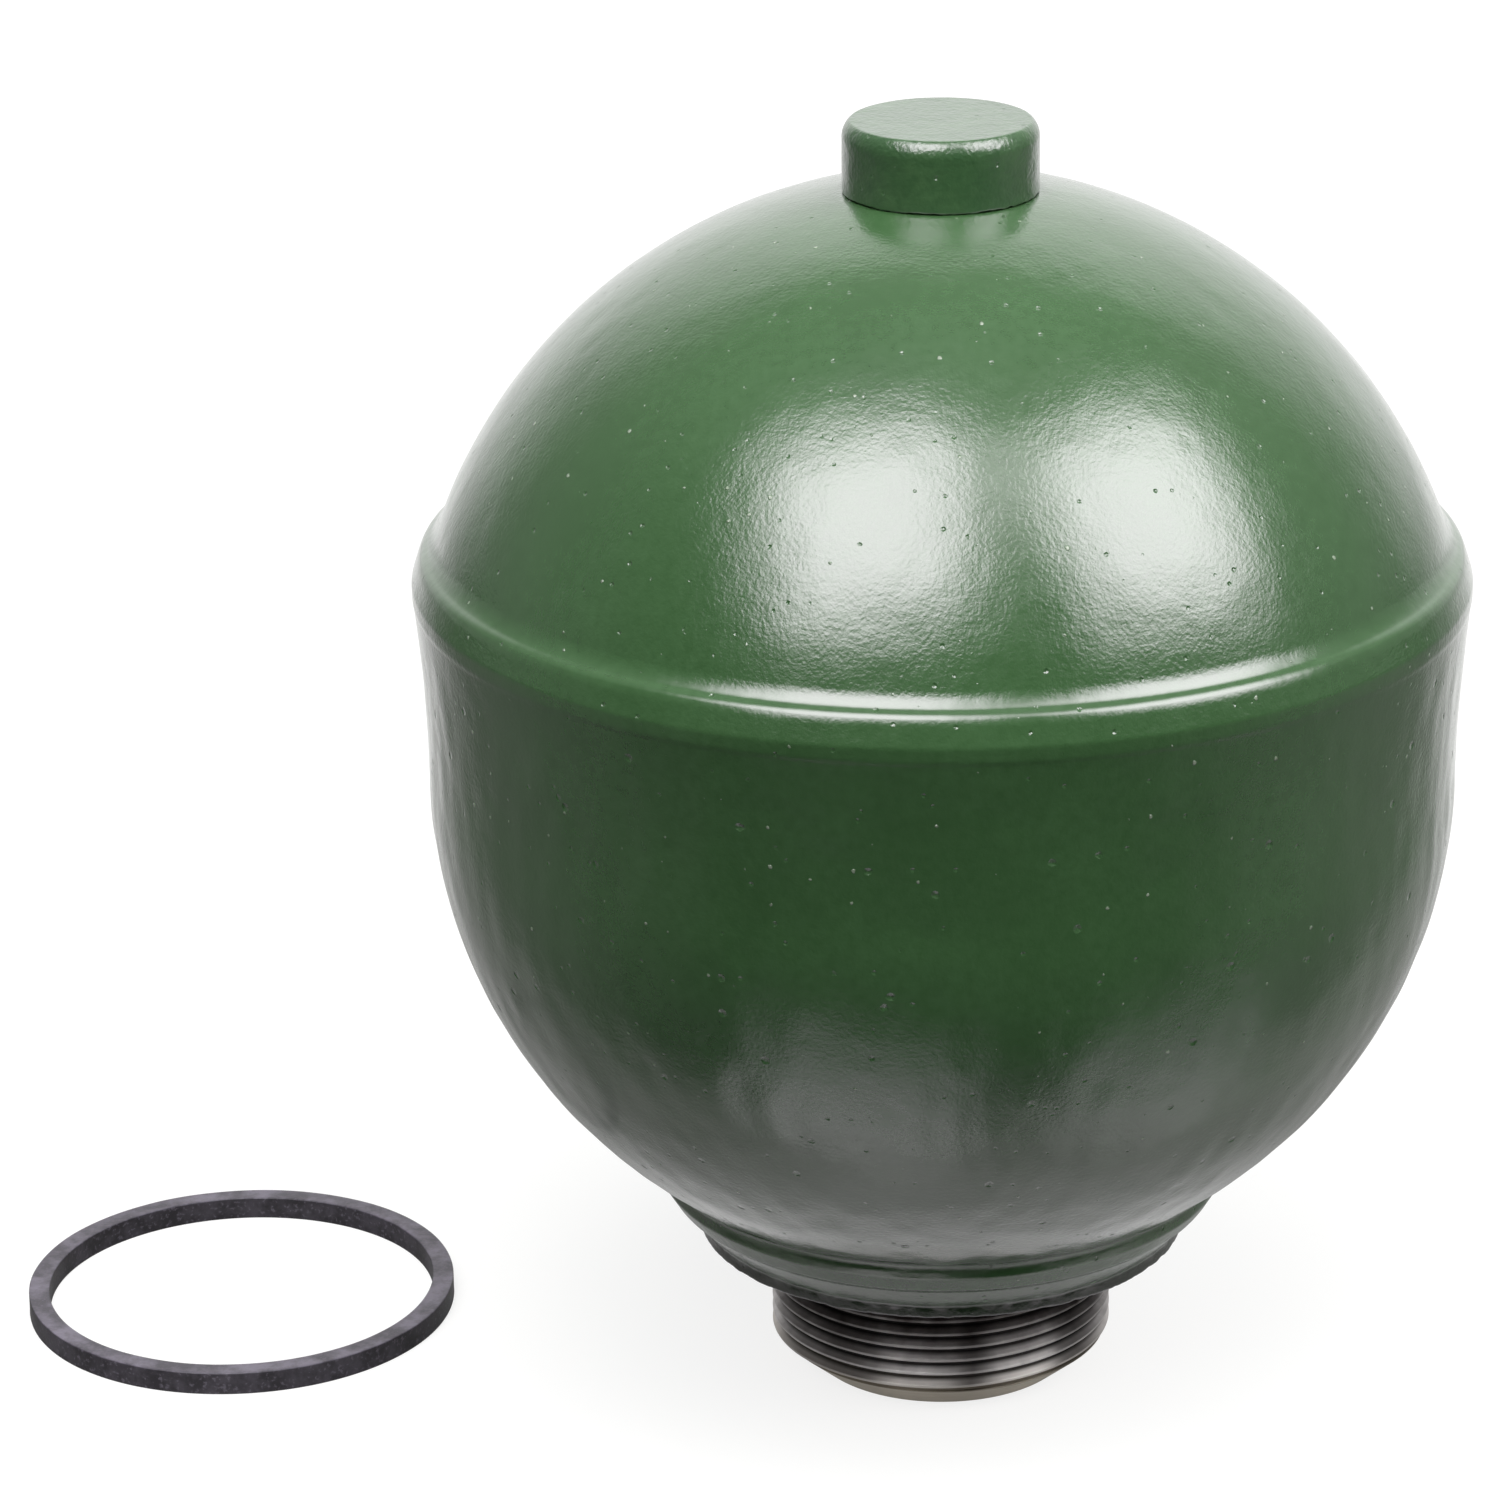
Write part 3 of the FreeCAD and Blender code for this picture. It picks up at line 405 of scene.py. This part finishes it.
def lower_shell():
    """The bowl of the oil side, with the rolled rim, the step under its band and its inside."""
    outline = [seam]
    outline += line(seam, (seam[0] + 0.212, seam[1] - 0.1325), 0.09)
    bend(outline, 58, 42, 1.7, 0.09)
    bend(outline, 42, 28, 1.0, 0.06)
    bend(outline, 28, 18, 4.0, 0.15)
    slope, length = math.radians(18), 1.806
    foot = (outline[-1][0] + length * math.sin(slope), outline[-1][1] - length * math.cos(slope))
    outline += line(outline[-1], foot, 0.35)
    bend(outline, 18, 0, 1.6, 0.15)
    outline += line(outline[-1], (RIM_RADIUS, 71.5), 0.2)
    bend(outline, 0, -13, 2.6, 0.15)
    bend(outline, -13, -6.486, 2.6, 0.15)
    bend(outline, -6.486, 0, 169.26, 0.65)
    outline += arc((0, BOWL_CENTRE), BOWL_RADIUS, 0, -56.9)[1:]
    painted = len(outline)
    hole, inner, socket = 24.0, 48.3, 51.8
    outline += line(outline[-1], (hole, 7.25), 2) + line((hole, 7.25), (hole, 9.59), 2)
    outline += arc((0, BOWL_CENTRE), inner, -60.2, 0, 3)[1:]
    outline += line((inner, BOWL_CENTRE), (inner, BEAD_SEAT), 4)
    outline += line((inner, BEAD_SEAT), (socket, BEAD_SEAT), 2) + line((socket, BEAD_SEAT), (socket, 75.6), 4)
    points = turned_points(outline, SHELL_COLUMNS)
    stand = outward(points)
    up = points[:painted, :, 2]
    fade = np.zeros(points.shape[:2])
    fade[:painted] = np.clip((70.2 - up) / 4, 0, 1)
    band = np.zeros(points.shape[:2])
    band[:painted] = np.clip((74.8 - up) / 2, 0, 1)
    rise = 0.035 * waves(points, 9, 4) + 0.02 * waves(points, 3.5, 5)
    rise += 0.085 * waves(points * (1, 1, 0.35), 2.8, 21)
    rise -= dents(points, 330, (0.7, 2.2), (0.012, 0.06), 6, 9, 70)
    rise -= dents(points, 170, (0.6, 1.0), (0.03, 0.07), 31, 12, 69)
    rolled = 0.012 * waves(points, 5, 7) - 0.012
    points += stand * (rise * fade + rolled * band * (1 - fade))[:, :, None]
    piece("bowl_of_the_oil_side", points, enamel, "vessel", ["lower_shell"],
          bare_from=painted - 1)


def neck_coat():
    """The enamel over the collar and the flare, its ragged lower edge, and the lumpy bead under the bowl."""
    outline = [(30.05, 8.8), (30.2, 8.5)] + arc((31.02, 7.302), 1.2, 125.06, 180, 0.08)
    outline += line(outline[-1], (29.82, 6.6), 0.12)
    bend(outline, 0, -28, 0.8, 0.1)
    outline += line(outline[-1], (28.85, 4.75), 0.15)
    bend(outline, -28, -52, 0.4, 0.05)
    outline += line(outline[-1], (outline[-1][0] - 0.71, outline[-1][1] - 0.555), 0.12)
    bend(outline, -52, -41, 1.6, 0.1)
    outline += line(outline[-1], (25.75, outline[-1][1] - (outline[-1][0] - 25.75) * 1.15), 0.15)
    bend(outline, -41, 3, 0.5, 0.08)
    outline += line(outline[-1], (outline[-1][0] + 0.02, 0.25), 0.12)
    bend(outline, 0, -80, 0.25, 0.05)
    painted = len(outline)
    outline += line(outline[-1], (25.0, 0.35), 0.3) + line((25.0, 0.35), (25.0, 1.0), 0.5)
    outline += line((25.0, 1.0), (27.0, 8.7), 1)
    points = turned_points(outline, 720)
    stand = outward(points)
    up = points[:, :, 2]
    turn = np.arctan2(points[:, :, 1], points[:, :, 0])
    rise = np.zeros(points.shape[:2])
    bead = np.exp(-((up - 7.2) / 0.6) ** 2)
    rise += bead * (0.34 * waves(points, 9, 8) + 0.1 * waves(points, 3.2, 9))
    rise += (0.035 * waves(points, 3, 10) + 0.015 * waves(points, 1.2, 22)) * np.clip((7.4 - up) / 1.5, 0, 1)
    lip = np.exp(-((up - 1.25) / 0.35) ** 2)
    rise += lip * (0.1 * waves(points, 2.2, 11) + 0.06 * waves(points, 0.9, 12))
    rise[painted:] = 0
    points += stand * rise[:, :, None]
    ragged = 0.16 * waves(points, 1.6, 13) + 0.07 * waves(points, 0.6, 14)
    points[:, :, 2] += ragged * np.clip((0.9 - up) / 0.6, 0, 1)
    points[:, :, 2] = np.maximum(points[:, :, 2], 0.03)
    piece("enamel_on_the_neck", points, neck_enamel, "vessel", edge=50)


def thread_depth(turn, up):
    """How deep the M36 x 1.5 thread is cut here: a crest with worn edges, 60 degree flanks, a flat root."""
    phase = (up / THREAD_PITCH - turn / (2 * math.pi)) % 1
    half_crest, wear, deepest = 0.13, 0.05, 0.9
    flank = (np.abs(phase - 0.5) * THREAD_PITCH - half_crest) * math.sqrt(3)
    rounded = (flank + np.sqrt(flank ** 2 + wear ** 2)) / 2
    return np.minimum(rounded, deepest)


def threaded_neck():
    """The turned neck: its bore, the lead-in cone, one real helix of thread, the seat collar and the flare
    under the paint. The thread's rows climb by one pitch a turn, closest together at its crest and root."""
    columns = 288
    inside = [(24.0, 7.25), (23.9, 7.25), (23.9, 9.59), (5.5, 9.59), (5.5, 7.79), (9.8, 7.79), (9.8, 1.0),
              (11.5, 1.0), (11.5, -5.0), (12.5, -5.0), (12.5, -6.3), (11.5, -6.3), (11.5, -14.8),
              (12.3, NECK_END), (13.6, NECK_END), (13.8, -15.5)]
    outside = [(17.0, 0.0), (17.6, 0.0), (25.0, 0.0), (25.2, 0.2), (25.2, 1.3), (27.6, 4.0), (27.6, 7.25)]
    cone_foot, cone_top = (13.8, -15.5), (17.0, -12.82)
    lead = line(cone_foot, cone_top, 0.25)
    half = np.array([0, 0.03, 0.05, 0.065, 0.08, 0.095, 0.115, 0.14, 0.2, 0.28, 0.35, 0.42, 0.43])
    phases = 0.5 + np.concatenate([-half[:0:-1], half])
    cut = (np.arange(-10, 2)[:, None] + phases).ravel() * THREAD_PITCH
    turns = np.linspace(-math.pi, math.pi, columns + 1)
    up = cut[:, None] + THREAD_PITCH * turns / (2 * math.pi)
    up = np.clip(up, -12.8, 0.0)
    cone = cone_foot[0] + (up - cone_foot[1]) * (cone_top[0] - cone_foot[0]) / (cone_top[1] - cone_foot[1])
    radius = np.minimum(cone, THREAD_RADIUS - thread_depth(turns[None, :], up))
    helix = np.stack([radius * np.cos(turns), radius * np.sin(turns), up], axis=2)
    above = turned_points(inside + lead, columns)
    below = turned_points(outside, columns)
    above, below = (np.roll(part, columns // 2, axis=1) for part in (above, below))
    above, below = (np.concatenate([part, part[:, :1]], axis=1) for part in (above, below))
    points = np.concatenate([above, helix, below])
    piece("neck_with_thread", points, steel, "vessel", ["threaded_neck"], weld=True)


def filler_cap():
    """The cap over the filler, pressed from sheet, with a rounded edge and a slightly crowned top."""
    ceiling = CAP_TOP - 1.6
    outline = [(PINHOLE, CAP_TOP)] + line((PINHOLE, CAP_TOP), (8.92, CAP_TOP), 0.25)
    bend(outline, 90, 50, 0.4, 0.05)
    bend(outline, 50, 30, 1.8, 0.08)
    bend(outline, 30, 2, 2.4, 0.1)
    outline += line(outline[-1], (CAP_RADIUS, SPOT_FACE + 0.3), 0.25)
    bend(outline, 0, -80, 0.22, 0.05)
    outside = len(outline)
    outline += line(outline[-1], (CAP_BORE, SPOT_FACE + 0.06), 0.5)
    outline += line((CAP_BORE, SPOT_FACE + 0.06), (CAP_BORE, ceiling), 1)
    outline += line((CAP_BORE, ceiling), (PINHOLE, ceiling), 1)
    points = turned_points(outline, 320)
    stand = outward(points)
    rise = 0.015 * waves(points, 3, 15) + 0.005 * waves(points, 1.1, 16)
    rise -= dents(points, 26, (0.25, 0.7), (0.01, 0.03), 17, 113, 119)
    rise -= 0.02
    rise[0] = rise[outside:] = 0
    points += stand * rise[:, :, None]
    torn = 0.09 * waves(points, 1.0, 19) + 0.05 * waves(points, 0.4, 20)
    points[:, :, 2] += torn * np.clip((SPOT_FACE + 0.7 - points[:, :, 2]) / 0.5, 0, 1)
    piece("filler_cap_enamelled", points, cap_enamel, "vessel", ["filler_cap"],
          bare_from=outside - 1)


def sealing_ring():
    """The square section ring, a little uneven as rubber is once it has been handled."""
    inner, outer, low, high, edge = 20.9, 23.2, NECK_END, NECK_END + 2.5, 0.16
    outline = []
    corners = [((outer - edge, high - edge), 90, 0), ((outer - edge, low + edge), 0, -90),
               ((inner + edge, low + edge), -90, -180), ((inner + edge, high - edge), 180, 90)]
    for centre, start, end in corners:
        rounding = arc(centre, edge, start, end, 0.07)
        if outline:
            outline += line(outline[-1], rounding[0], 0.3)[:-1]
        outline += rounding
    outline += line(outline[-1], outline[0], 0.3)[:-1]
    points = turned_points(outline, 600)
    stand = outward(points)
    rise = 0.03 * waves(points, 6, 18) - 0.03
    rise *= np.clip((points[:, :, 2] - low) / 0.5, 0, 1)
    points += stand * rise[:, :, None]
    points += np.array(RING_PLACE)
    ring = piece("sealing_ring_moulded", points, rubber_seal, "vessel", ["sealing_ring"])
    # The enamel mirrors the studio alone.
    ring.visible_glossy = False


def diaphragm():
    """The moulded rubber diaphragm: a bead that stays in the rim, a cup that folds up, and the pad that
    goes with the button. The cup ends a hairline short of the pad, so that neither cuts the other."""
    hairline, pad_edge = 12.03, 12.0
    outer, inner, floor, top = 47.9, 45.9, 9.885, 11.885
    bead = [(48.3, BEAD_SEAT), (51.3, BEAD_SEAT), (51.5, 64.2), (51.5, 66.8), (51.3, 67.0), (50.5, 67.0),
            (50.5, 66.1), (49.5, 66.1), (49.5, 67.0), (46.2, 67.0), (inner, 66.7), (inner, BEAD_SEAT),
            (outer, BEAD_SEAT)]
    start = math.degrees(math.asin((floor - BOWL_CENTRE) / outer))
    end = math.degrees(math.asin((top - BOWL_CENTRE) / inner))
    cup = [(hairline, floor)] + line((hairline, floor), arc((0, BOWL_CENTRE), outer, start, 0)[0], 1.5)
    cup += arc((0, BOWL_CENTRE), outer, start, 0, 1.2)[1:]
    cup += line((outer, BOWL_CENTRE), (outer, BEAD_SEAT), 1.5)
    cup += [(inner, BEAD_SEAT)] + line((inner, BEAD_SEAT), (inner, BOWL_CENTRE), 1.5)
    cup += arc((0, BOWL_CENTRE), inner, 0, end, 1.2)[1:]
    cup += line(cup[-1], (hairline, top), 1.5)
    pad = [(9.3, floor), (pad_edge, floor), (pad_edge, 13.785), (11.85, 14.14), (11.5, 14.285),
           (PINHOLE, 14.285), (PINHOLE, 12.785), (2.8, 12.785), (2.8, 11.785), (9.3, 11.785)]
    made = [
        piece(f"diaphragm_{part}", turned_points(outline, RUBBER_COLUMNS), rubber_moulding, body,
              ["diaphragm"])
        for part, outline, body in (("bead", bead, "vessel"), ("cup", cup, "vessel"), ("pad", pad, "button"))
    ]
    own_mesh(made[1])


upper_shell()
lower_shell()
neck_coat()
threaded_neck()
filler_cap()
sealing_ring()
diaphragm()

# The solids inside that are shown as they are in the drawing, by finish.
FINISHES = {
    metal("bright_machined_steel", "#a3a09c", "#8c8985", 0.4, 0.32):
        ["clamp_ring", "diaphragm_button", "filler_boss"],
    metal("rolled_copper", "#b97a56", "#a2613f", 0.5, 0.34): ["filler_seal"],
    metal("zinc_plated_steel", "#b9b7a6", "#a3a18f", 0.35, 0.3):
        ["filler_screw", "damper_bolt", "damper_nut"],
    metal("sintered_steel", "#6f6c69", "#5a5755", 0.18, 0.5, 0.03):
        ["damper_body", "compression_stop", "rebound_stop"],
    metal("blued_spring_steel", "#6a6d78", "#565863", 0.3, 0.26):
        [f"{side}_{part}" for side in ("compression", "rebound")
         for part in ("leaf_1", "leaf_2", "leaf_3", "spacer")] + ["retaining_ring"],
}
for finish, names in FINISHES.items():
    for name in names:
        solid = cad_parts[name]
        solid.data.materials.clear()
        solid.data.materials.append(finish)


def behind(tree, place):
    """How far round to the back of the part a direction or a place lies: 1 straight behind the part as the
    camera sees it, -1 in front."""
    level = add(tree, "ShaderNodeVectorMath", {0: place, 1: (1.0, 1.0, 0.0)}, operation="MULTIPLY")
    level = add(tree, "ShaderNodeVectorMath", {0: level}, operation="NORMALIZE")
    return add(tree, "ShaderNodeVectorMath", {0: level, 1: (0.035, 0.9994, 0.0)}, out="Value",
               operation="DOT_PRODUCT")


def white_table():
    """The plate that the part stands on. The camera sees it white, with a soft shadow on it. To the part it
    is a dark plate, darkest close under it and in front, with a painted glow round the neck and behind it
    that only reflections see, a painted bounce that glows onto the part from the sides, and a polish that
    mirrors the softboxes."""
    mesh = bpy.data.meshes.new("table")
    far, low = 6.0, NECK_END * MM
    corners = [(-far, -far, low), (far, -far, low), (far, far, low), (-far, far, low)]
    mesh.from_pydata(corners, [], [(0, 1, 2, 3)])
    table = bpy.data.objects.new("table", mesh)
    bpy.context.scene.collection.objects.link(table)
    material, tree, place = new_finish("white_plate")
    rays = tree.nodes.new("ShaderNodeLightPath")
    flat = add(tree, "ShaderNodeVectorMath", {0: place, 1: (1.0, 1.0, 0.0)}, operation="MULTIPLY")
    away = add(tree, "ShaderNodeVectorMath", {0: flat}, out="Value", operation="LENGTH")
    # Painted glow: the plate shines close round the neck and far behind the part; only the part's reflections
    # see it.
    near = add(tree, "ShaderNodeMapRange",
               {"Value": away, "From Min": 0.03, "From Max": 0.1, "To Min": 0.1, "To Max": 0.0})
    close = add(tree, "ShaderNodeMapRange",
                {"Value": away, "From Min": 0.016, "From Max": 0.06, "To Min": 0.54, "To Max": 0.0},
                interpolation_type="SMOOTHSTEP")
    shaded = add(tree, "ShaderNodeMapRange",
                 {"Value": away, "From Min": 0.013, "From Max": 0.022, "To Min": 0.55, "To Max": 1.0})
    close = add(tree, "ShaderNodeMath", {0: close, 1: shaded}, operation="MULTIPLY")
    near = add(tree, "ShaderNodeMath", {0: near, 1: close}, operation="ADD")
    turn = behind(tree, place)
    back = add(tree, "ShaderNodeMapRange",
               {"Value": turn, "From Min": 0.5, "From Max": 1.06, "To Min": 0.0, "To Max": 0.86},
               interpolation_type="SMOOTHSTEP")
    far_off = add(tree, "ShaderNodeMapRange", {"Value": away, "From Min": 0.05, "From Max": 0.2})
    back = add(tree, "ShaderNodeMath", {0: back, 1: far_off}, operation="MULTIPLY")
    glow = add(tree, "ShaderNodeMath", {0: near, 1: back}, operation="MAXIMUM")
    glow = add(tree, "ShaderNodeMath", {0: glow, 1: rays.outputs["Is Glossy Ray"]}, operation="MULTIPLY")
    depth = add(tree, "ShaderNodeSeparateXYZ", {"Vector": place}, out="Y")
    right = add(tree, "ShaderNodeSeparateXYZ", {"Vector": place}, out="X")
    # Painted bounce: the plate glows onto the part's diffuse light from its sides, most from the right.
    left_bounce = add(tree, "ShaderNodeMapRange",
                      {"Value": right, "From Min": -0.03, "From Max": -0.2, "To Min": 0.0, "To Max": 0.6})
    bounce = add(tree, "ShaderNodeMapRange",
                 {"Value": right, "From Min": 0.02, "From Max": 0.2, "To Min": 0.1, "To Max": 1.5})
    bounce = add(tree, "ShaderNodeMath", {0: bounce, 1: left_bounce}, operation="ADD")
    beside = add(tree, "ShaderNodeMapRange", {"Value": depth, "From Min": -0.13, "From Max": 0.0})
    bounce = add(tree, "ShaderNodeMath", {0: bounce, 1: beside}, operation="MULTIPLY")
    glow = add(tree, "ShaderNodeMath", {0: bounce, 1: rays.outputs["Is Diffuse Ray"], 2: glow},
               operation="MULTIPLY_ADD")
    depth = add(tree, "ShaderNodeMath", {0: depth, 1: away}, operation="SUBTRACT")
    front = add(tree, "ShaderNodeMapRange", {"Value": depth, "From Min": -0.155, "From Max": -0.095})
    aside = add(tree, "ShaderNodeMapRange",
                {"Value": turn, "From Min": -0.8, "From Max": 0.1, "To Min": 0.0, "To Max": 0.5})
    front = add(tree, "ShaderNodeMath", {0: front, 1: aside}, operation="MAXIMUM")
    plate = add(tree, "ShaderNodeMix", {"Factor": front, "A": srgb("#171717"), "B": srgb("#767674")},
                data_type="RGBA")
    # Painted shadow: close under the part the plate turns near black.
    under = add(tree, "ShaderNodeMapRange", {"Value": away, "From Min": 0.02, "From Max": 0.05})
    plate = add(tree, "ShaderNodeMix", {"Factor": under, "A": srgb("#1f1f1f"), "B": plate}, data_type="RGBA")
    body = add(tree, "ShaderNodeBsdfDiffuse", {"Color": plate})
    shine = add(tree, "ShaderNodeEmission", {"Color": srgb("#ffffff"), "Strength": glow})
    lit = add(tree, "ShaderNodeAddShader", {0: body, 1: shine})
    gloss = add(tree, "ShaderNodeBsdfGlossy", {"Color": srgb("#ffffff"), "Roughness": 0.075})
    polish = add(tree, "ShaderNodeMapRange",
                 {"Value": right, "From Min": -0.04, "From Max": 0.075, "To Min": 0.134, "To Max": 0.072})
    worn = add(tree, "ShaderNodeMapRange",
               {"Value": depth, "From Min": -0.25, "From Max": -0.15, "To Min": 0.25, "To Max": 1.0})
    polish = add(tree, "ShaderNodeMath", {0: polish, 1: worn}, operation="MULTIPLY")
    lit = add(tree, "ShaderNodeMixShader", {0: polish, 1: lit, 2: gloss})
    white = add(tree, "ShaderNodeBsdfDiffuse", {"Color": srgb("#838381")})
    evened = add(tree, "ShaderNodeMapRange",
                 {"Value": away, "From Min": 0.2, "From Max": 0.7, "To Min": 0.81, "To Max": 0.97})
    base = add(tree, "ShaderNodeEmission", {"Color": srgb("#ffffff"), "Strength": evened})
    shown = add(tree, "ShaderNodeAddShader", {0: white, 1: base})
    look = add(tree, "ShaderNodeMixShader", {0: rays.outputs["Is Camera Ray"], 1: lit, 2: shown})
    add(tree, "ShaderNodeOutputMaterial", {"Surface": look})
    mesh.materials.append(material)


def studio():
    """A white backdrop behind, a dim room at the sides and overhead, and a dark one in front. The camera sees
    white all round."""
    world = bpy.data.worlds.new("studio")
    bpy.context.scene.world = world
    world.use_nodes = True
    tree = world.node_tree
    tree.nodes.clear()
    way = add(tree, "ShaderNodeTexCoord", {}, out="Generated")
    turn = behind(tree, way)
    sides = add(tree, "ShaderNodeMapRange",
                {"Value": turn, "From Min": -0.6, "From Max": 0.45, "To Min": 0.02, "To Max": 0.16},
                interpolation_type="SMOOTHSTEP")
    back = add(tree, "ShaderNodeMapRange",
               {"Value": turn, "From Min": 0.5, "From Max": 1.04, "To Min": 0.0, "To Max": 0.84},
               interpolation_type="SMOOTHSTEP")
    height = add(tree, "ShaderNodeSeparateXYZ", {"Vector": way}, out="Z")
    reach = add(tree, "ShaderNodeSeparateXYZ", {"Vector": way}, out="Y")
    reach = add(tree, "ShaderNodeMath", {0: reach, 1: 0.05}, operation="MAXIMUM")
    steep = add(tree, "ShaderNodeMath", {0: height, 1: reach}, operation="DIVIDE")
    overhead = add(tree, "ShaderNodeMapRange",
                   {"Value": steep, "From Min": 0.9, "From Max": 1.65, "To Min": 1.0, "To Max": 0.02},
                   interpolation_type="SMOOTHSTEP")
    back = add(tree, "ShaderNodeMath", {0: back, 1: overhead}, operation="MULTIPLY")
    room = add(tree, "ShaderNodeMath", {0: sides, 1: back}, operation="ADD")
    camera = add(tree, "ShaderNodeLightPath", {}, out="Is Camera Ray")
    level = add(tree, "ShaderNodeMath", {0: room, 1: camera}, operation="MAXIMUM")
    surface = add(tree, "ShaderNodeBackground", {"Color": srgb("#ffffff"), "Strength": level})
    add(tree, "ShaderNodeOutputWorld", {"Surface": surface})


def softbox(name, side, up, roll, width, height, power, seen=True):
    """A softbox a metre away from the dome, brighter in the middle than at its edges, as the lamp in it makes
    it. side and up are degrees to the right of the front and above the horizon, and width and height are in
    metres. One that isn't seen lights the part, and nothing mirrors it."""
    lamp = bpy.data.lights.new(name, "AREA")
    lamp.shape, lamp.size, lamp.size_y, lamp.energy = "RECTANGLE", width, height, power
    lamp.use_nodes = True
    tree = lamp.node_tree
    tree.nodes.clear()
    spot = add(tree, "ShaderNodeNewGeometry", {}, out="Parametric")
    spot = add(tree, "ShaderNodeVectorMath", {0: spot, 1: (0.5, 0.5, 0.0)}, operation="SUBTRACT")
    spot = add(tree, "ShaderNodeVectorMath", {0: spot}, operation="ABSOLUTE")
    shares = [
        add(tree, "ShaderNodeMapRange",
            {"Value": add(tree, "ShaderNodeSeparateXYZ", {"Vector": spot}, out=way),
             "From Min": 0.15, "From Max": 0.55, "To Min": 1.0, "To Max": 0.0},
            interpolation_type="SMOOTHSTEP")
        for way in ("X", "Y")
    ]
    share = add(tree, "ShaderNodeMath", {0: shares[0], 1: shares[1]}, operation="MULTIPLY")
    light = add(tree, "ShaderNodeEmission", {"Color": srgb("#ffffff"), "Strength": share})
    add(tree, "ShaderNodeOutputLight", {"Surface": light})
    holder = bpy.data.objects.new(name, lamp)
    bpy.context.scene.collection.objects.link(holder)
    holder.visible_glossy = seen
    side, up = math.radians(side), math.radians(up)
    way = Vector((math.sin(side) * math.cos(up), -math.cos(side) * math.cos(up), math.sin(up)))
    facing = way.to_track_quat("Z", "Y").to_matrix().to_4x4() @ Matrix.Rotation(math.radians(roll), 4, "Z")
    dome = Vector((0, 0, 0.06))
    holder.matrix_world = Matrix.Translation(dome + way) @ facing


def camera():
    """The photograph's own angle, found from the part's outline in it."""
    lens = bpy.data.cameras.new("camera")
    lens.sensor_width, lens.sensor_fit, lens.lens = 36, "HORIZONTAL", 136.92
    lens.clip_start, lens.clip_end = 0.02, 20
    holder = bpy.data.objects.new("camera", lens)
    bpy.context.scene.collection.objects.link(holder)
    place = Vector((-0.61, -553.14, 257.65)) * MM
    around, tilt, roll = (math.radians(turn) for turn in (1.978, 69.667, -0.708))
    turned = Matrix.Rotation(around, 4, "Z") @ Matrix.Rotation(tilt, 4, "X") @ Matrix.Rotation(roll, 4, "Z")
    holder.matrix_world = Matrix.Translation(place) @ turned
    bpy.context.scene.camera = holder


white_table()
studio()
softbox("softbox_left", -24, 54, 22, 1.03, 1.09, 17.0)
softbox("softbox_right", 64, 45, -18, 1.01, 1.0, 15.2)
softbox("overhead_fill", 0, 82, 0, 1.0, 1.0, 15.0, seen=False)
camera()
bpy.context.scene.view_settings.view_transform = "Standard"
